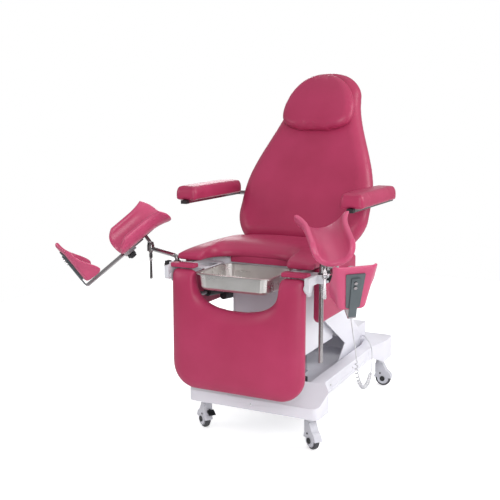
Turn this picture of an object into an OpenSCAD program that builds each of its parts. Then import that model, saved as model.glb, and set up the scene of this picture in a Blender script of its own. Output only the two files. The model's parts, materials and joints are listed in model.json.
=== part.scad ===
/* [Cushions] */
// Width of the seat and back cushions
pad_w = 600; // [560:5:620]
// Thickness of the seat cushion at its edge
seat_t = 46; // [36:1:50]
// Extra height of a cushion's crown at its middle
crown = 14; // [6:1:20]
// Depth of the front cut-out of the seat
seat_cut_d = 160; // [120:5:180]
// Length of the back cushion along its slope
back_l = 850; // [780:10:900]
// Thickness of the back cushion at its edge
back_t = 74; // [60:1:80]
// Half width of the back cushion at the head
neck_w = 165; // [140:5:190]

/* [Heights and angles] */
// Height of the underside of the seat cushion above the floor
seat_z = 745; // [730:1:760]
// Lean of the backrest from the vertical, in degrees
back_lean = 28.6; // [20:0.1:32]
// Height of the leg section's hinge below the seat cushion
leg_hinge_drop = 55; // [50:1:60]
// Length of the leg section's pad
leg_l = 485; // [440:5:500]
// Thickness of the leg section's pad
leg_t = 60; // [50:1:62]

/* [Base] */
// Half distance between the front and rear caster stems
axle_y = 445; // [430:5:460]
// Half distance between the left and right caster stems
axle_x = 237; // [225:1:245]
// Width of the two cross feet of the base cover
foot_w = 584; // [570:2:600]
// Wheel diameter
wheel_d = 75; // [65:1:76]
// Wall thickness of the moulded covers
wall = 4; // [3:0.5:5]

/* [Lift] */
// Width of the outer lift column
column_w = 130; // [120:2:136]
// Wall of the lift column tubes
column_wall = 5; // [4:0.5:6]
// Sliding clearance between the column stages
column_gap = 1; // [0.5:0.25:1.5]
// Half width of the rear tower
tower_w = 172; // [166:1:180]

/* [Tray] */
// Length of the tray across the seat
tray_w = 325; // [310:1:326]
// Width of the tray from front to back
tray_l = 265; // [240:1:270]
// Depth of the tray
tray_d = 65; // [50:1:70]

/* [Armrests] */
// Clear gap between the cushions and each armrest pad
arm_gap = 19; // [15:1:30]
// Width of an armrest pad
arm_w = 100; // [80:2:104]
// Length of an armrest pad
arm_l = 437; // [400:1:445]

/* [Leg supports] */
// Radius of the support rod
rod_r = 9; // [8:0.5:10]
// Half width of the calf shell
shell_r = 80; // [72:1:88]
// Length of the calf shell
shell_l = 235; // [210:5:250]
// Length of the foot shell
foot_l = 170; // [150:5:185]
// Turn of the left rod's arm away from straight ahead, in degrees
left_swing = 100; // [90:1:104]
// Turn of the right rod's arm away from straight ahead, in degrees
right_swing = 26; // [24:1:34]
// Height of the left shell's joint
left_joint_z = 792; // [788:1:820]
// Height of the right shell's joint
right_joint_z = 819; // [805:1:840]

/* [Hidden] */

// Facets of round parts, and of the small round ones
$fn = 48;
small_fn = 24;
// Overrun of every cut, seat clearance of pieces that rest on each other, running clearance
cut = 1;
seat_gap = 0.3;
run = 0.05;

function unit(v) = v / norm(v);
function turn_between(a, b) = ((b - a + 540) % 360) - 180;
// One rounded corner of an outline, as an arc of n steps
function corner(p0, p1, p2, r, n) =
    let(a = unit(p0 - p1), b = unit(p2 - p1), half = acos(a * b) / 2,
        c = p1 + unit(a + b) * r / sin(half),
        s = p1 + a * r / tan(half) - c, e = p1 + b * r / tan(half) - c,
        from = atan2(s[1], s[0]), sweep = turn_between(from, atan2(e[1], e[0])))
    [for (i = [0:n]) c + r * [cos(from + sweep * i / n), sin(from + sweep * i / n)]];
function rounded(pts, radii, n = 6) =
    let(m = len(pts))
    [for (i = [0:m - 1])
        each corner(pts[(i + m - 1) % m], pts[i], pts[(i + 1) % m], radii[i], n)];
function smooth(t) = t < 0 ? 0 : t > 1 ? 1 : t * t * (3 - 2 * t);
// Rise of a rounded edge of radius r at a distance e from the outline, 0 to 1
function lip(e, r) = sqrt(max(0, 1 - pow(1 - min(e, r) / r, 2)));
function mirrored(list) = concat([for (i = [len(list) - 1:-1:1]) -list[i]], list);
// Distances over a span s from one edge to the other, dense near both edges
edge_share = [0, 0.012, 0.045, 0.12, 0.25, 0.42, 0.58, 0.75, 0.88, 0.955, 0.988, 1];

// Closed solid between two grids of points with the same number of rows and columns
module grid_solid(top, bottom) {
    n = len(top);
    m = len(top[0]);
    b = n * m;
    function at(i, j) = i * m + j;
    polyhedron(
        points = concat([for (row = top) each row], [for (row = bottom) each row]),
        faces = concat(
            [for (i = [0:n - 2]) for (j = [0:m - 2])
                each [[at(i, j), at(i, j + 1), at(i + 1, j + 1)],
                      [at(i, j), at(i + 1, j + 1), at(i + 1, j)],
                      [b + at(i, j), b + at(i + 1, j + 1), b + at(i, j + 1)],
                      [b + at(i, j), b + at(i + 1, j), b + at(i + 1, j + 1)]]],
            [for (i = [0:n - 2])
                each [[at(i, 0), at(i + 1, 0), b + at(i + 1, 0)],
                      [at(i, 0), b + at(i + 1, 0), b + at(i, 0)],
                      [at(i + 1, m - 1), at(i, m - 1), b + at(i, m - 1)],
                      [at(i + 1, m - 1), b + at(i, m - 1), b + at(i + 1, m - 1)]]],
            [for (j = [0:m - 2])
                each [[at(0, j + 1), at(0, j), b + at(0, j)],
                      [at(0, j + 1), b + at(0, j), b + at(0, j + 1)],
                      [at(n - 1, j), at(n - 1, j + 1), b + at(n - 1, j + 1)],
                      [at(n - 1, j), b + at(n - 1, j + 1), b + at(n - 1, j)]]]));
}

// Upholstered pad: xs are its columns, lo and hi where each column starts and ends,
// half its half width. The edge is rounded, the underside drawn in and the top crowned.
pad_rim_share = 0.3;
pad_tuck = 8;
module pad(xs, lo, hi, half, thick, edge_r, rise) {
    n = len(xs);
    function p(i, s) = [xs[i], lo[i] + (hi[i] - lo[i]) * s];
    function ex(i) = half - abs(xs[i]);
    function ey(i, s) = (hi[i] - lo[i]) * min(s, 1 - s);
    function low(i, s) = pad_tuck * (1 - lip(ex(i), pad_tuck) * lip(ey(i, s), pad_tuck));
    function high(i, s) =
        let(rim = pad_tuck + thick * pad_rim_share)
        rim + (thick - rim) * lip(ex(i), edge_r) * lip(ey(i, s), edge_r)
        + rise * (1 - pow(xs[i] / half, 2)) * 4 * s * (1 - s);
    grid_solid(
        [for (i = [0:n - 1]) [for (s = edge_share) concat(p(i, s), high(i, s))]],
        [for (i = [0:n - 1]) [for (s = edge_share) concat(p(i, s), low(i, s))]]);
}

// Start of a column at distance d from a side, for a corner of radius r
function round_off(d, r) = d >= r ? 0 : r - sqrt(max(0, r * r - pow(r - d, 2)));
// Columns of a plain rectangular pad of half width h
plain_share = [0, 0.55, 0.84, 0.96, 1];
module plain_pad(h, l, thick, edge_r, rise, corner_r) {
    xs = mirrored([for (s = plain_share) s * h]);
    pad(xs, [for (x = xs) round_off(h - abs(x), corner_r)],
        [for (x = xs) l - round_off(h - abs(x), corner_r)], h, thick, edge_r, rise);
}
// Straight prism from a rounded outline, standing on z = 0
module plate(pts, radii, h) {
    linear_extrude(h) polygon(rounded(pts, radii));
}
// Outline in the (y, z) plane, extruded along +x from x0 to x1
module side_plate(pts, radii, x0, x1) {
    translate([x0, 0, 0]) rotate([90, 0, 90]) plate(pts, radii, x1 - x0);
}
module block(x0, x1, y0, y1, z0, z1) {
    translate([x0, y0, z0]) cube([x1 - x0, y1 - y0, z1 - z0]);
}
// Rod along x from x0 to x1
module bar_x(r, x0, x1, y, z) {
    translate([x0, y, z]) rotate([0, 90, 0]) cylinder(r = r, h = x1 - x0);
}
module both_sides() {
    children();
    mirror([1, 0, 0]) children();
}

// Base: chassis, moulded cover and tower
foot_z = 136;
foot_h = 46;
rail_z = 175;
rail_h = 60;
rail_x = 250;
deck_z = 190;
deck_x = 192;
front_y = -axle_y - 60;
foot_rear_y = -axle_y + 60;
waist_y = foot_rear_y + 60;
rear_y = axle_y + 30;
rear_foot_y = axle_y - 105;
rear_waist_y = rear_foot_y - 50;
rear_z = 150;
rear_h = 100;
foot_round = 28;
waist_round = 50;
stem_r = 6;
caster_z = 126;
socket_r = 15;
socket_z = 168;
chassis_w = 34;
chassis_h = 40;
chassis_x = rail_x - wall - chassis_w - 3;
chassis_z = deck_z - wall - seat_gap;
recess = 3;

function base_plan(inset) =
    let(f = foot_w / 2 - inset, w = rail_x - inset, y0 = front_y + inset, y5 = rear_y - inset)
    [[f, y0], [f, foot_rear_y - inset], [w, waist_y], [w, rear_waist_y],
     [f, rear_foot_y + inset], [f, y5],
     [-f, y5], [-f, rear_foot_y + inset], [-w, rear_waist_y], [-w, waist_y],
     [-f, foot_rear_y - inset], [-f, y0]];
function base_radii(inset) =
    let(r = foot_round - inset, w = waist_round)
    [r, r, w, w, r, r, r, r, w, w, r, r];
module base_body(inset) {
    drop = inset > 0 ? cut : 0;
    intersection() {
        plate(base_plan(inset), base_radii(inset), rear_z + rear_h);
        rotate([90, 0, 90])
            linear_extrude(foot_w + 2 * cut, center = true)
                polygon([
                    [front_y - cut, foot_z - drop], [foot_rear_y, foot_z - drop],
                    [waist_y, rail_z - drop], [rear_waist_y, rail_z - drop],
                    [rear_foot_y, rear_z - drop], [rear_y + cut, rear_z - drop],
                    [rear_y + cut, rear_z + rear_h - inset],
                    [rear_foot_y, rear_z + rear_h - inset],
                    [rear_waist_y, rail_z + rail_h - inset],
                    [waist_y, rail_z + rail_h - inset],
                    [front_y - cut, foot_z + foot_h - inset]]);
    }
}
module base_cover() color("white") {
    pocket_y0 = foot_rear_y + waist_round;
    difference() {
        base_body(0);
        difference() {
            base_body(wall);
            // The deck between the rails and the rim round it stay solid
            block(-deck_x - wall, deck_x + wall, pocket_y0 - wall, rear_foot_y + wall,
                  deck_z - wall, rear_z + rear_h);
        }
        // Sunken deck
        block(-deck_x, deck_x, pocket_y0, rear_foot_y, deck_z, rear_z + rear_h + cut);
        // Opening for the column's foot
        block(-column_seat, column_seat, column_y - column_seat, column_y + column_seat,
              foot_z - cut, deck_z + cut);
        // Recessed band along the outside of each rail
        both_sides()
            side_plate([[waist_y + waist_round, rail_z + rail_h / 4],
                        [rear_waist_y - waist_round, rail_z + rail_h / 4],
                        [rear_waist_y - waist_round, rail_z + rail_h * 3 / 4],
                        [waist_y + waist_round, rail_z + rail_h * 3 / 4]],
                       [small_r, small_r, small_r, small_r], rail_x - recess, rail_x + cut);
        // Holes that the caster sockets stand in
        for (x = [-axle_x, axle_x]) for (y = [-axle_y, axle_y])
            translate([x, y, 0]) cylinder(r = socket_r + cut, h = foot_z + wall);
        // Screw hole in the front of the cross foot
        translate([0, front_y - cut, foot_z + foot_h / 2])
            rotate([-90, 0, 0]) cylinder(r = screw_r, h = wall + 2 * cut, $fn = small_fn);
    }
}
small_r = 8;
screw_r = 4;

module base_frame() color("dimgray") {
    tube_z = foot_z + 8;
    tube_h = 28;
    tube_w = 40;
    rear_tube_z = rear_z + 14;
    difference() {
        chassis(tube_z, tube_h, tube_w, rear_tube_z);
        // Bores of the caster stems
        for (x = [-axle_x, axle_x]) for (y = [-axle_y, axle_y])
            translate([x, y, 0]) cylinder(r = stem_r + run, h = socket_z - 2);
    }
}
module chassis(tube_z, tube_h, tube_w, rear_tube_z) {
    // Cross tubes under the two feet
    block(-axle_x - tube_w / 2, axle_x + tube_w / 2, -axle_y - tube_w / 2,
          -axle_y + tube_w / 2, tube_z, tube_z + tube_h);
    block(-axle_x - tube_w / 2, axle_x + tube_w / 2, axle_y - tube_w / 2,
          axle_y - tube_w / 2 + tube_w, rear_tube_z, rear_tube_z + tube_h * 2);
    // Long tubes in the rails, joined to the cross tubes by gussets
    both_sides() {
        side_plate([[-axle_y - tube_w / 2, tube_z], [-axle_y + tube_w, tube_z],
                    [waist_y + foot_round, chassis_z], [axle_y + tube_w / 2, chassis_z],
                    [axle_y + tube_w / 2, chassis_z + chassis_h],
                    [waist_y + foot_round, chassis_z + chassis_h],
                    [-axle_y - tube_w / 2, tube_z + tube_h]],
                   [for (i = [0:6]) wall], chassis_x, chassis_x + chassis_w);
        for (y = [-axle_y, axle_y])
            translate([axle_x, y, caster_z + seat_gap])
                cylinder(r = socket_r, h = socket_z - caster_z + (y > 0 ? tube_h : -wall));
    }
    // Two beams that carry the column's foot plate
    for (s = [-1, 1])
        block(-chassis_x - cut, chassis_x + cut,
              column_y + s * (column_w / 2 - column_wall) - tube_w / 4,
              column_y + s * (column_w / 2 - column_wall) + tube_w / 4,
              chassis_z - tube_h / 2, chassis_z);
}

// Side elevation of the rear tower, front edge cut to a chevron
tower_top_z = 478;
chevron = [[-106, 425], [123, 283], [12, 190]];
tower_nose = 84;
tower_shoulder = [150, 445];
motor_y0 = 290;
motor_y1 = 462;
motor_z = 320;
function tower_outline(inset) = [
    [chevron[0][0] - tower_nose, tower_top_z - inset], chevron[1],
    [chevron[2][0], deck_z + seat_gap],
    [rear_foot_y - seat_gap, deck_z + seat_gap], [rear_foot_y - seat_gap, rear_z + rear_h + seat_gap],
    [motor_y1 - inset, rear_z + rear_h + seat_gap], [motor_y1 - inset, motor_z - inset],
    [motor_y0 - inset, motor_z - inset],
    [tower_shoulder[0] - inset, tower_shoulder[1] - inset]];
module tower_body(inset, half) {
    r = inset > 0 ? small_r : small_r + wall;
    side_plate(tower_outline(inset), [small_r, wall, wall, wall, seat_gap / 2, wall, 4 * r, r, 2 * r],
               -half, half);
}
module tower_cover() color("white") {
    rear_r = 60;
    difference() {
        intersection() {
            tower_body(0, tower_w);
            // The rear end is rounded in plan
            plate([[-tower_w, chevron[0][0] - 90], [tower_w, chevron[0][0] - 90],
                   [tower_w, motor_y1], [-tower_w, motor_y1]],
                  [wall, wall, rear_r, rear_r], tower_top_z + cut);
        }
        intersection() {
            union() {
                tower_body(wall, tower_w - wall);
                // Open front and open underside
                side_plate([[chevron[0][0] - tower_nose - cut, deck_z - cut],
                            [motor_y1 - wall, deck_z - cut], [motor_y1 - wall, motor_z / 1.2],
                            [chevron[1][0], chevron[1][1]],
                            [chevron[0][0] - tower_nose, tower_top_z - 2 * wall]],
                           [cut, wall, wall, wall, cut], -tower_w + wall, tower_w - wall);
            }
            plate([[-tower_w + wall, chevron[0][0] - 99], [tower_w - wall, chevron[0][0] - 99],
                   [tower_w - wall, motor_y1 - wall], [-tower_w + wall, motor_y1 - wall]],
                  [wall, wall, rear_r - wall, rear_r - wall], tower_top_z + cut);
        }
        // The roof is open where the lift column and its moving cover pass
        block(-hood_x - hood_gap, hood_x + hood_gap, -2 * tower_w, hood_y1 + hood_gap,
              deck_z, tower_top_z + cut);
        // Hole of the cord's grommet
        translate([0, gland_y, gland_z]) bar_x(gland_r - 1, 0, tower_w + cut, 0, 0);
    }
    // Grommet ring and screw on the outside
    difference() {
        bar_x(gland_r, tower_w - wall / 2, tower_w + wall, gland_y, gland_z);
        bar_x(cord_r + run, tower_w - wall, tower_w + 2 * wall, gland_y, gland_z);
    }
}
gland_y = 344;
gland_z = 267;
gland_r = 8;

module control_box() color("dimgray") {
    box_y = -330;
    translate([0, 0, deck_z + seat_gap])
        plate([[40, box_y], [150, box_y], [150, box_y + 70], [40, box_y + 70]],
              [small_r, small_r, small_r, small_r], 40);
}

// Lift column: the outer stage stands on the chassis, the inner one carries the seat
column_y = -140;
column_seat = column_w / 2 + 6;
column_top = 560;
inner_w = column_w - 2 * column_wall - 2 * column_gap;
inner_z = 315;
plate_z = seat_z - 45;
plate_t = 8;
module square_tube(w, t, z0, z1) {
    difference() {
        block(-w / 2, w / 2, column_y - w / 2, column_y + w / 2, z0, z1);
        block(-w / 2 + t, w / 2 - t, column_y - w / 2 + t, column_y + w / 2 - t,
              z0 - cut, z1 + cut);
    }
}
module outer_column() color("silver") {
    square_tube(column_w, column_wall, chassis_z + plate_t, column_top);
    block(-column_seat + 2, column_seat - 2, column_y - column_seat + 2,
          column_y + column_seat - 2, chassis_z + seat_gap, chassis_z + plate_t);
}
module inner_column() color("gainsboro") {
    square_tube(inner_w, column_wall, inner_z, plate_z - plate_t);
    block(-120, 120, column_y - column_seat, column_y + column_seat,
          plate_z - plate_t, plate_z - seat_gap);
}
// Moving cover round the column, open above and below
hood_x = 150;
hood_gap = 4;
hood_y0 = -388;
hood_y1 = 20;
hood_z0 = 330;
hood_z1 = 660;
module column_cover() color("white") {
    hood_r = 30;
    difference() {
        translate([0, 0, hood_z0])
            plate([[-hood_x, hood_y0], [hood_x, hood_y0], [hood_x, hood_y1], [-hood_x, hood_y1]],
                  [hood_r, hood_r, wall, wall], hood_z1 - hood_z0);
        translate([0, 0, hood_z0 - cut])
            plate([[-hood_x + wall, hood_y0 + wall], [hood_x - wall, hood_y0 + wall],
                   [hood_x - wall, hood_y1 + cut], [-hood_x + wall, hood_y1 + cut]],
                  [hood_r - wall, hood_r - wall, 1, 1], hood_z1 - hood_z0 + 2 * cut);
    }
    // Straps that hang the cover from the cross tubes of the seat frame
    both_sides() {
        block(60, 100, hood_y0 + wall / 4, hood_y0 + wall * 3 / 4, hood_z1 - cut,
              rail_top - rail_tube_h - seat_gap);
        block(hood_x - wall * 3 / 4, hood_x - wall / 4, -85, -61, hood_z1 - cut,
              rail_top - rail_tube_h - seat_gap);
    }
}

// Casters
fork_w = 34;
tyre_w = 24;
trail = 20;
axle_r = 4;
wheel_r = wheel_d / 2;
hub_r = 26;
front_left_turn = 144.5;
front_right_turn = -35.5;
rear_left_turn = 178;
rear_right_turn = 2;
module caster_place(x, y, turn) {
    translate([x, y, 0]) rotate([0, 0, turn]) children();
}
module fork(braked) color("white") {
    head_r = 18;
    hood_out = wheel_r + 6;
    ear_x = -24;
    ear_z = 86;
    difference() {
        union() {
            // Hood and cheeks, as one side outline
            rotate([90, 0, 0]) linear_extrude(fork_w, center = true) union() {
                translate([trail, wheel_r]) circle(r = hub_r);
                intersection() {
                    translate([trail, wheel_r]) circle(r = hood_out);
                    translate([trail - hood_out, wheel_r + axle_r])
                        square([2 * hood_out, hood_out]);
                }
                polygon([[-head_r, caster_z - 14], [-head_r, wheel_r + hub_r + 6],
                         [trail - hub_r, wheel_r], [trail + hub_r, wheel_r + hub_r],
                         [head_r, caster_z - 14]]);
            }
            translate([0, 0, caster_z - 14 - cut]) cylinder(r = head_r, h = 14 + cut);
            translate([0, 0, caster_z - cut]) cylinder(r = stem_r, h = socket_z - caster_z - wall);
            if (braked) rotate([90, 0, 0]) linear_extrude(fork_w - 2 * small_r, center = true) {
                translate([ear_x, ear_z]) circle(r = 6);
                polygon([[ear_x, ear_z - 6], [ear_x, ear_z + 6], [0, ear_z + 14], [0, ear_z - 20]]);
            }
        }
        // Wheel slot
        translate([trail, 0, wheel_r]) rotate([90, 0, 0])
            cylinder(r = wheel_r + 2, h = tyre_w + 2, center = true);
        if (braked) {
            block(ear_x - 12, -head_r - 1, -5, 5, ear_z - 30, ear_z + 30);
            translate([ear_x, 0, ear_z]) rotate([90, 0, 0])
                cylinder(r = 2.5 + run, h = fork_w, center = true, $fn = small_fn);
        }
    }
    // Axle
    translate([trail, 0, wheel_r]) rotate([90, 0, 0])
        cylinder(r = axle_r, h = fork_w, center = true);
}
module wheel() color("gray") translate([trail, 0, wheel_r]) rotate([90, 0, 0]) {
    rim_r = wheel_r - 9;
    // Tyre with a rounded tread
    rotate_extrude() polygon(rounded([[rim_r, -tyre_w / 2], [wheel_r, -tyre_w / 2],
        [wheel_r, tyre_w / 2], [rim_r, tyre_w / 2]], [1, small_r, small_r, 1], 5));
    // Core
    difference() {
        cylinder(r = rim_r - run, h = tyre_w - 4, center = true);
        cylinder(r = axle_r + run, h = tyre_w, center = true);
    }
}
module pedal() color("dimgray") {
    ear_x = -24;
    ear_z = 86;
    translate([ear_x, 0, ear_z]) rotate([90, 0, 0]) {
        cylinder(r = 2.5, h = fork_w - 2 * small_r, center = true, $fn = small_fn);
        linear_extrude(9, center = true) union() {
            circle(r = 4.5);
            polygon([[-10, -4], [0, -4.5], [0, 4.5], [-10, 4]]);
        }
        linear_extrude(fork_w - 4, center = true)
            polygon(rounded([[-34, -10], [-32, -14], [-9, -4], [-9, 4], [-12, 5]], [1, 1, 1, 1, 1], 3));
    }
}

// Seat frame: two long tubes, cross tubes, rod clamps, hinge arms, pivot lugs and tray rails
rail_top = seat_z - 5;
rail_tube_h = 40;
rail_tube_w = 26;
seat_rail_x = pad_w / 2 - 83;
seat_front_y = -585;
seat_rear_y = -75;
clamp_x = pad_w / 2 + 15;
clamp_y = -540;
clamp_z0 = seat_z - 47;
clamp_z1 = seat_z - 15;
bush_r = 13;
hinge_y = -632;
hinge_z = seat_z - leg_hinge_drop;
hinge_pin_r = 8;
hinge_arm_x = pad_w / 2 - 9;
hinge_arm_t = 18;
leg_half = hinge_arm_x - 7;
leg_tube_x = leg_half - 62;
pivot_y = -40;
pivot_z = 685;
pivot_r = 11;
pivot_lug_x = seat_rail_x - 7.5;
tray_y0 = -683;
tray_z = 718;
rim_h = 5;
rail_sheet = 2;
module seat_frame() color("white") {
    lo = rail_top - rail_tube_h;
    tray_rear = tray_y0 + tray_l;
    both_sides() {
        block(seat_rail_x, seat_rail_x + rail_tube_w, seat_front_y, -pivot_r - 2, lo, rail_top);
        // Rod clamp
        difference() {
            block(seat_rail_x, clamp_x + 22, clamp_y - 27, clamp_y + 26, clamp_z0, clamp_z1);
            translate([clamp_x, clamp_y, clamp_z0 - cut])
                cylinder(r = bush_r + run, h = clamp_z1 - clamp_z0 + 2 * cut);
            bar_x(5 + run, clamp_x, clamp_x + 22 + cut, clamp_y, (clamp_z0 + clamp_z1) / 2);
            // Socket of the clamp's cross screw
            translate([clamp_x - 30, clamp_y - 27 - cut, (clamp_z0 + clamp_z1) / 2])
                rotate([-90, 0, 0]) cylinder(r = 5, h = 12, $fn = 6);
        }
        // Arm that carries the leg section's hinge pin
        difference() {
            side_plate([[clamp_y - 26, clamp_z0], [clamp_y - 26, clamp_z1],
                        [hinge_y - 16, clamp_z1], [hinge_y - 16, hinge_z - 14],
                        [hinge_y + 14, hinge_z - 14], [hinge_y + 22, clamp_z0]],
                       [1, 1, 3, 12, 10, 6], hinge_arm_x, hinge_arm_x + hinge_arm_t);
            bar_x(hinge_pin_r + run, hinge_arm_x - cut, hinge_arm_x + hinge_arm_t + cut,
                  hinge_y, hinge_z);
        }
        // Backrest pivot lug
        difference() {
            side_plate([[pivot_y - 22, rail_top - 4], [pivot_y - 22, pivot_z - 8],
                        [pivot_y, pivot_z - 24], [pivot_y + 22, pivot_z - 8],
                        [pivot_y + 22, rail_top - 4]],
                       [2, 10, 12, 10, 2], pivot_lug_x, seat_rail_x + cut);
            bar_x(pivot_r + run, pivot_lug_x - cut, seat_rail_x + 2 * cut, pivot_y, pivot_z);
        }
        // Tray rail: angle under the rim with a tab up to the long tube
        block(tray_w / 2 - 6, tray_w / 2 + rail_sheet + 1, hinge_y + 52, tray_rear - 3,
              tray_z - rim_h - seat_gap - rail_sheet, tray_z - rim_h - seat_gap);
        block(tray_w / 2 + 1, tray_w / 2 + 1 + rail_sheet, hinge_y + 52, tray_rear - 3,
              tray_z - rim_h - seat_gap - rail_sheet, tray_z + 3);
        for (y = [seat_front_y + 8, tray_rear - 40])
            block(tray_w / 2 + 1, seat_rail_x + cut, y, y + 30, tray_z + 3 - cut,
                  tray_z + 3 + rail_sheet);
        // Stops the skirts are screwed to
        for (y = [skirt_y0 + 60, skirt_y1 - 90])
            block(seat_rail_x + rail_tube_w - cut, skirt_x - seat_gap, y, y + 30, lo + 4, lo + 10);
    }
    // Cross tubes
    for (y = [tray_rear + 12, back_base_y - 12, column_y - 80, -85])
        block(-seat_rail_x - cut, seat_rail_x + cut, y, y + 24, lo, rail_top);
    // Brackets of the two actuators
    block(back_rod_x - 9, back_rod_x + 9, back_base_y - 4, back_base_y + 8, back_rod_z - 9,
          lo + cut);
    block(-seat_rail_x - 13, -seat_rail_x - 8, leg_base[0] - 14, leg_base[0] + 14,
          leg_base[1] - 10, lo + cut);
    bar_x(8, -seat_rail_x - 9, leg_rod_x + 8, leg_base[0], leg_base[1]);
    // Board that the seat cushion is screwed to
    block(1 - skirt_x, skirt_x - 1, seat_front_y + seat_cut_d + 24, seat_rear_y - 22,
          rail_top - seat_gap, seat_z - seat_gap);
}

// Seat cushion with its front cut-out, and the two upholstered strips below its horns
cut_half = 185;
cut_share = [0, 0.4, 0.7, 0.88, 0.96, 1];
horn_share = [0.12, 0.45, 0.78, 0.94, 1];
horn_r = 22;
seat_edge_r = 44;
leg_edge_r = 58;
leg_rise = 10;
// Depth of a cut-out of depth d and half width w at a distance x from the middle
function cut_depth(x, w, d, r, e) = r + (d - r) * pow(max(0, 1 - pow(x / w, e)), 1 / e);
function horned(half) =
    mirrored(concat([for (s = cut_share) s * cut_half],
                    [for (s = horn_share) cut_half + s * (half - cut_half)]));
function horn_edge(x, half, d, r, e) =
    abs(x) <= cut_half ? cut_depth(abs(x), cut_half, d, r, e)
        : round_off(min(abs(x) - cut_half, half - abs(x)), r);
module seat_cushion() color("palevioletred") {
    half = pad_w / 2;
    xs = horned(half);
    rear_r = 45;
    translate([0, 0, seat_z])
        pad(xs, [for (x = xs) seat_front_y + horn_edge(x, half, seat_cut_d, horn_r, 3)],
            [for (x = xs) seat_rear_y - round_off(half - abs(x), rear_r)],
            half, seat_t, seat_edge_r, crown);
    both_sides()
        translate([0, seat_front_y - 50, hinge_z + leg_t / 2 + 3])
            plate([[cut_half + 5, 0], [hinge_arm_x - 1, 0], [hinge_arm_x - 1, 45],
                   [cut_half + 5, 45]],
                  [6, 6, 6, 6], seat_z - hinge_z - leg_t / 2 - 4);
    both_sides()
        block(cut_half + 10, hinge_arm_x - 3, seat_front_y - 10, seat_front_y + 30,
              rail_top + seat_gap, seat_z - seat_gap + pad_tuck - 2);
    seat_apron();
}
// Upholstered apron that closes the frame below the cut-out, above the tray's rear rim
apron_y = seat_front_y + seat_cut_d;
apron_z = tray_z + 5;
module seat_apron() {
    block(-cut_half * 0.72, cut_half * 0.72, apron_y + 7, apron_y + 17, apron_z,
          seat_z + pad_tuck / 2);
}
// Upholstered panels that hang at both sides of the seat
skirt_y0 = -511;
skirt_y1 = -105;
skirt_z0 = 525;
skirt_x = pad_w / 2 - 30;
skirt_t = 28;
module side_skirts() color("palevioletred") {
    skirt_top = seat_z - 4;
    ys = [for (s = [0, 0.03, 0.09, 0.2, 0.38, 0.62, 0.8, 0.91, 0.97, 1]) s];
    half = (skirt_y1 - skirt_y0) / 2;
    xs = mirrored([for (s = plain_share) s * half]);
    both_sides() translate([skirt_x, skirt_y0 + half, 0]) rotate([90, 0, 90])
        pad(xs, [for (x = xs) skirt_z0 + round_off(half - abs(x), 40)],
            [for (x = xs) skirt_top - round_off(half - abs(x), 5)], half, skirt_t, 12, 1);
}

// Stainless tray: walls lofted from rounded rectangles
function tray_ring(w, l, r, z) =
    [for (p = rounded([[-w / 2, -l / 2], [w / 2, -l / 2], [w / 2, l / 2], [-w / 2, l / 2]],
                      [r, r, r, r], 5)) [p[0], p[1], z]];
module loft(rings) {
    m = len(rings[0]);
    n = len(rings);
    polyhedron(
        points = [for (ring = rings) each ring],
        faces = concat([[for (i = [0:m - 1]) i]],
            [[for (i = [m - 1:-1:0]) (n - 1) * m + i]],
            [for (k = [0:n - 2]) for (i = [0:m - 1]) let(j = (i + 1) % m)
                each [[k * m + i, (k + 1) * m + i, (k + 1) * m + j],
                      [k * m + i, (k + 1) * m + j, k * m + j]]]));
}
module instrument_tray() color("lightgray") {
    sheet = 1.5;
    rim = 10;
    r = 42;
    taper = 9;
    fillet = 10;
    w = tray_w - 2 * rim;
    l = tray_l - 2 * rim;
    translate([0, tray_y0 + tray_l / 2, tray_z]) {
        difference() {
            loft([tray_ring(w - taper - fillet * 2, l - taper - fillet * 2, r - fillet, -tray_d),
                  tray_ring(w - taper, l - taper, r, -tray_d + fillet),
                  tray_ring(w, l, r, -sheet), tray_ring(w, l, r, -sheet / 2)]);
            loft([tray_ring(w - taper - fillet * 2 - sheet, l - taper - fillet * 2 - sheet,
                            r - fillet - sheet, -tray_d + sheet),
                  tray_ring(w - taper - sheet * 2, l - taper - sheet * 2, r - sheet,
                            -tray_d + fillet + sheet),
                  tray_ring(w - sheet * 2, l - sheet * 2, r - sheet, cut)]);
        }
        // Flat rim with a turned-down edge
        difference() {
            translate([0, 0, -rim_h])
                linear_extrude(rim_h)
                    polygon([for (p = tray_ring(tray_w, tray_l, r + rim / 2, 0)) [p[0], p[1]]]);
            translate([0, 0, -rim_h - cut])
                linear_extrude(rim_h + cut - sheet)
                    polygon([for (p = tray_ring(tray_w - sheet * 2, tray_l - sheet * 2,
                                                r + rim / 2 - sheet, 0)) [p[0], p[1]]]);
            linear_extrude(10, center = true)
                polygon([for (p = tray_ring(w - sheet, l - sheet, r - sheet / 2, 0)) [p[0], p[1]]]);
        }
    }
}

// Backrest, built upright and then leaned about its pivot
back_front = 20;
frame_n0 = -6;
frame_n1 = 18;
back_start = 55;
module back_place() {
    translate([0, pivot_y, pivot_z]) rotate([-back_lean, 0, 0]) children();
}
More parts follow.
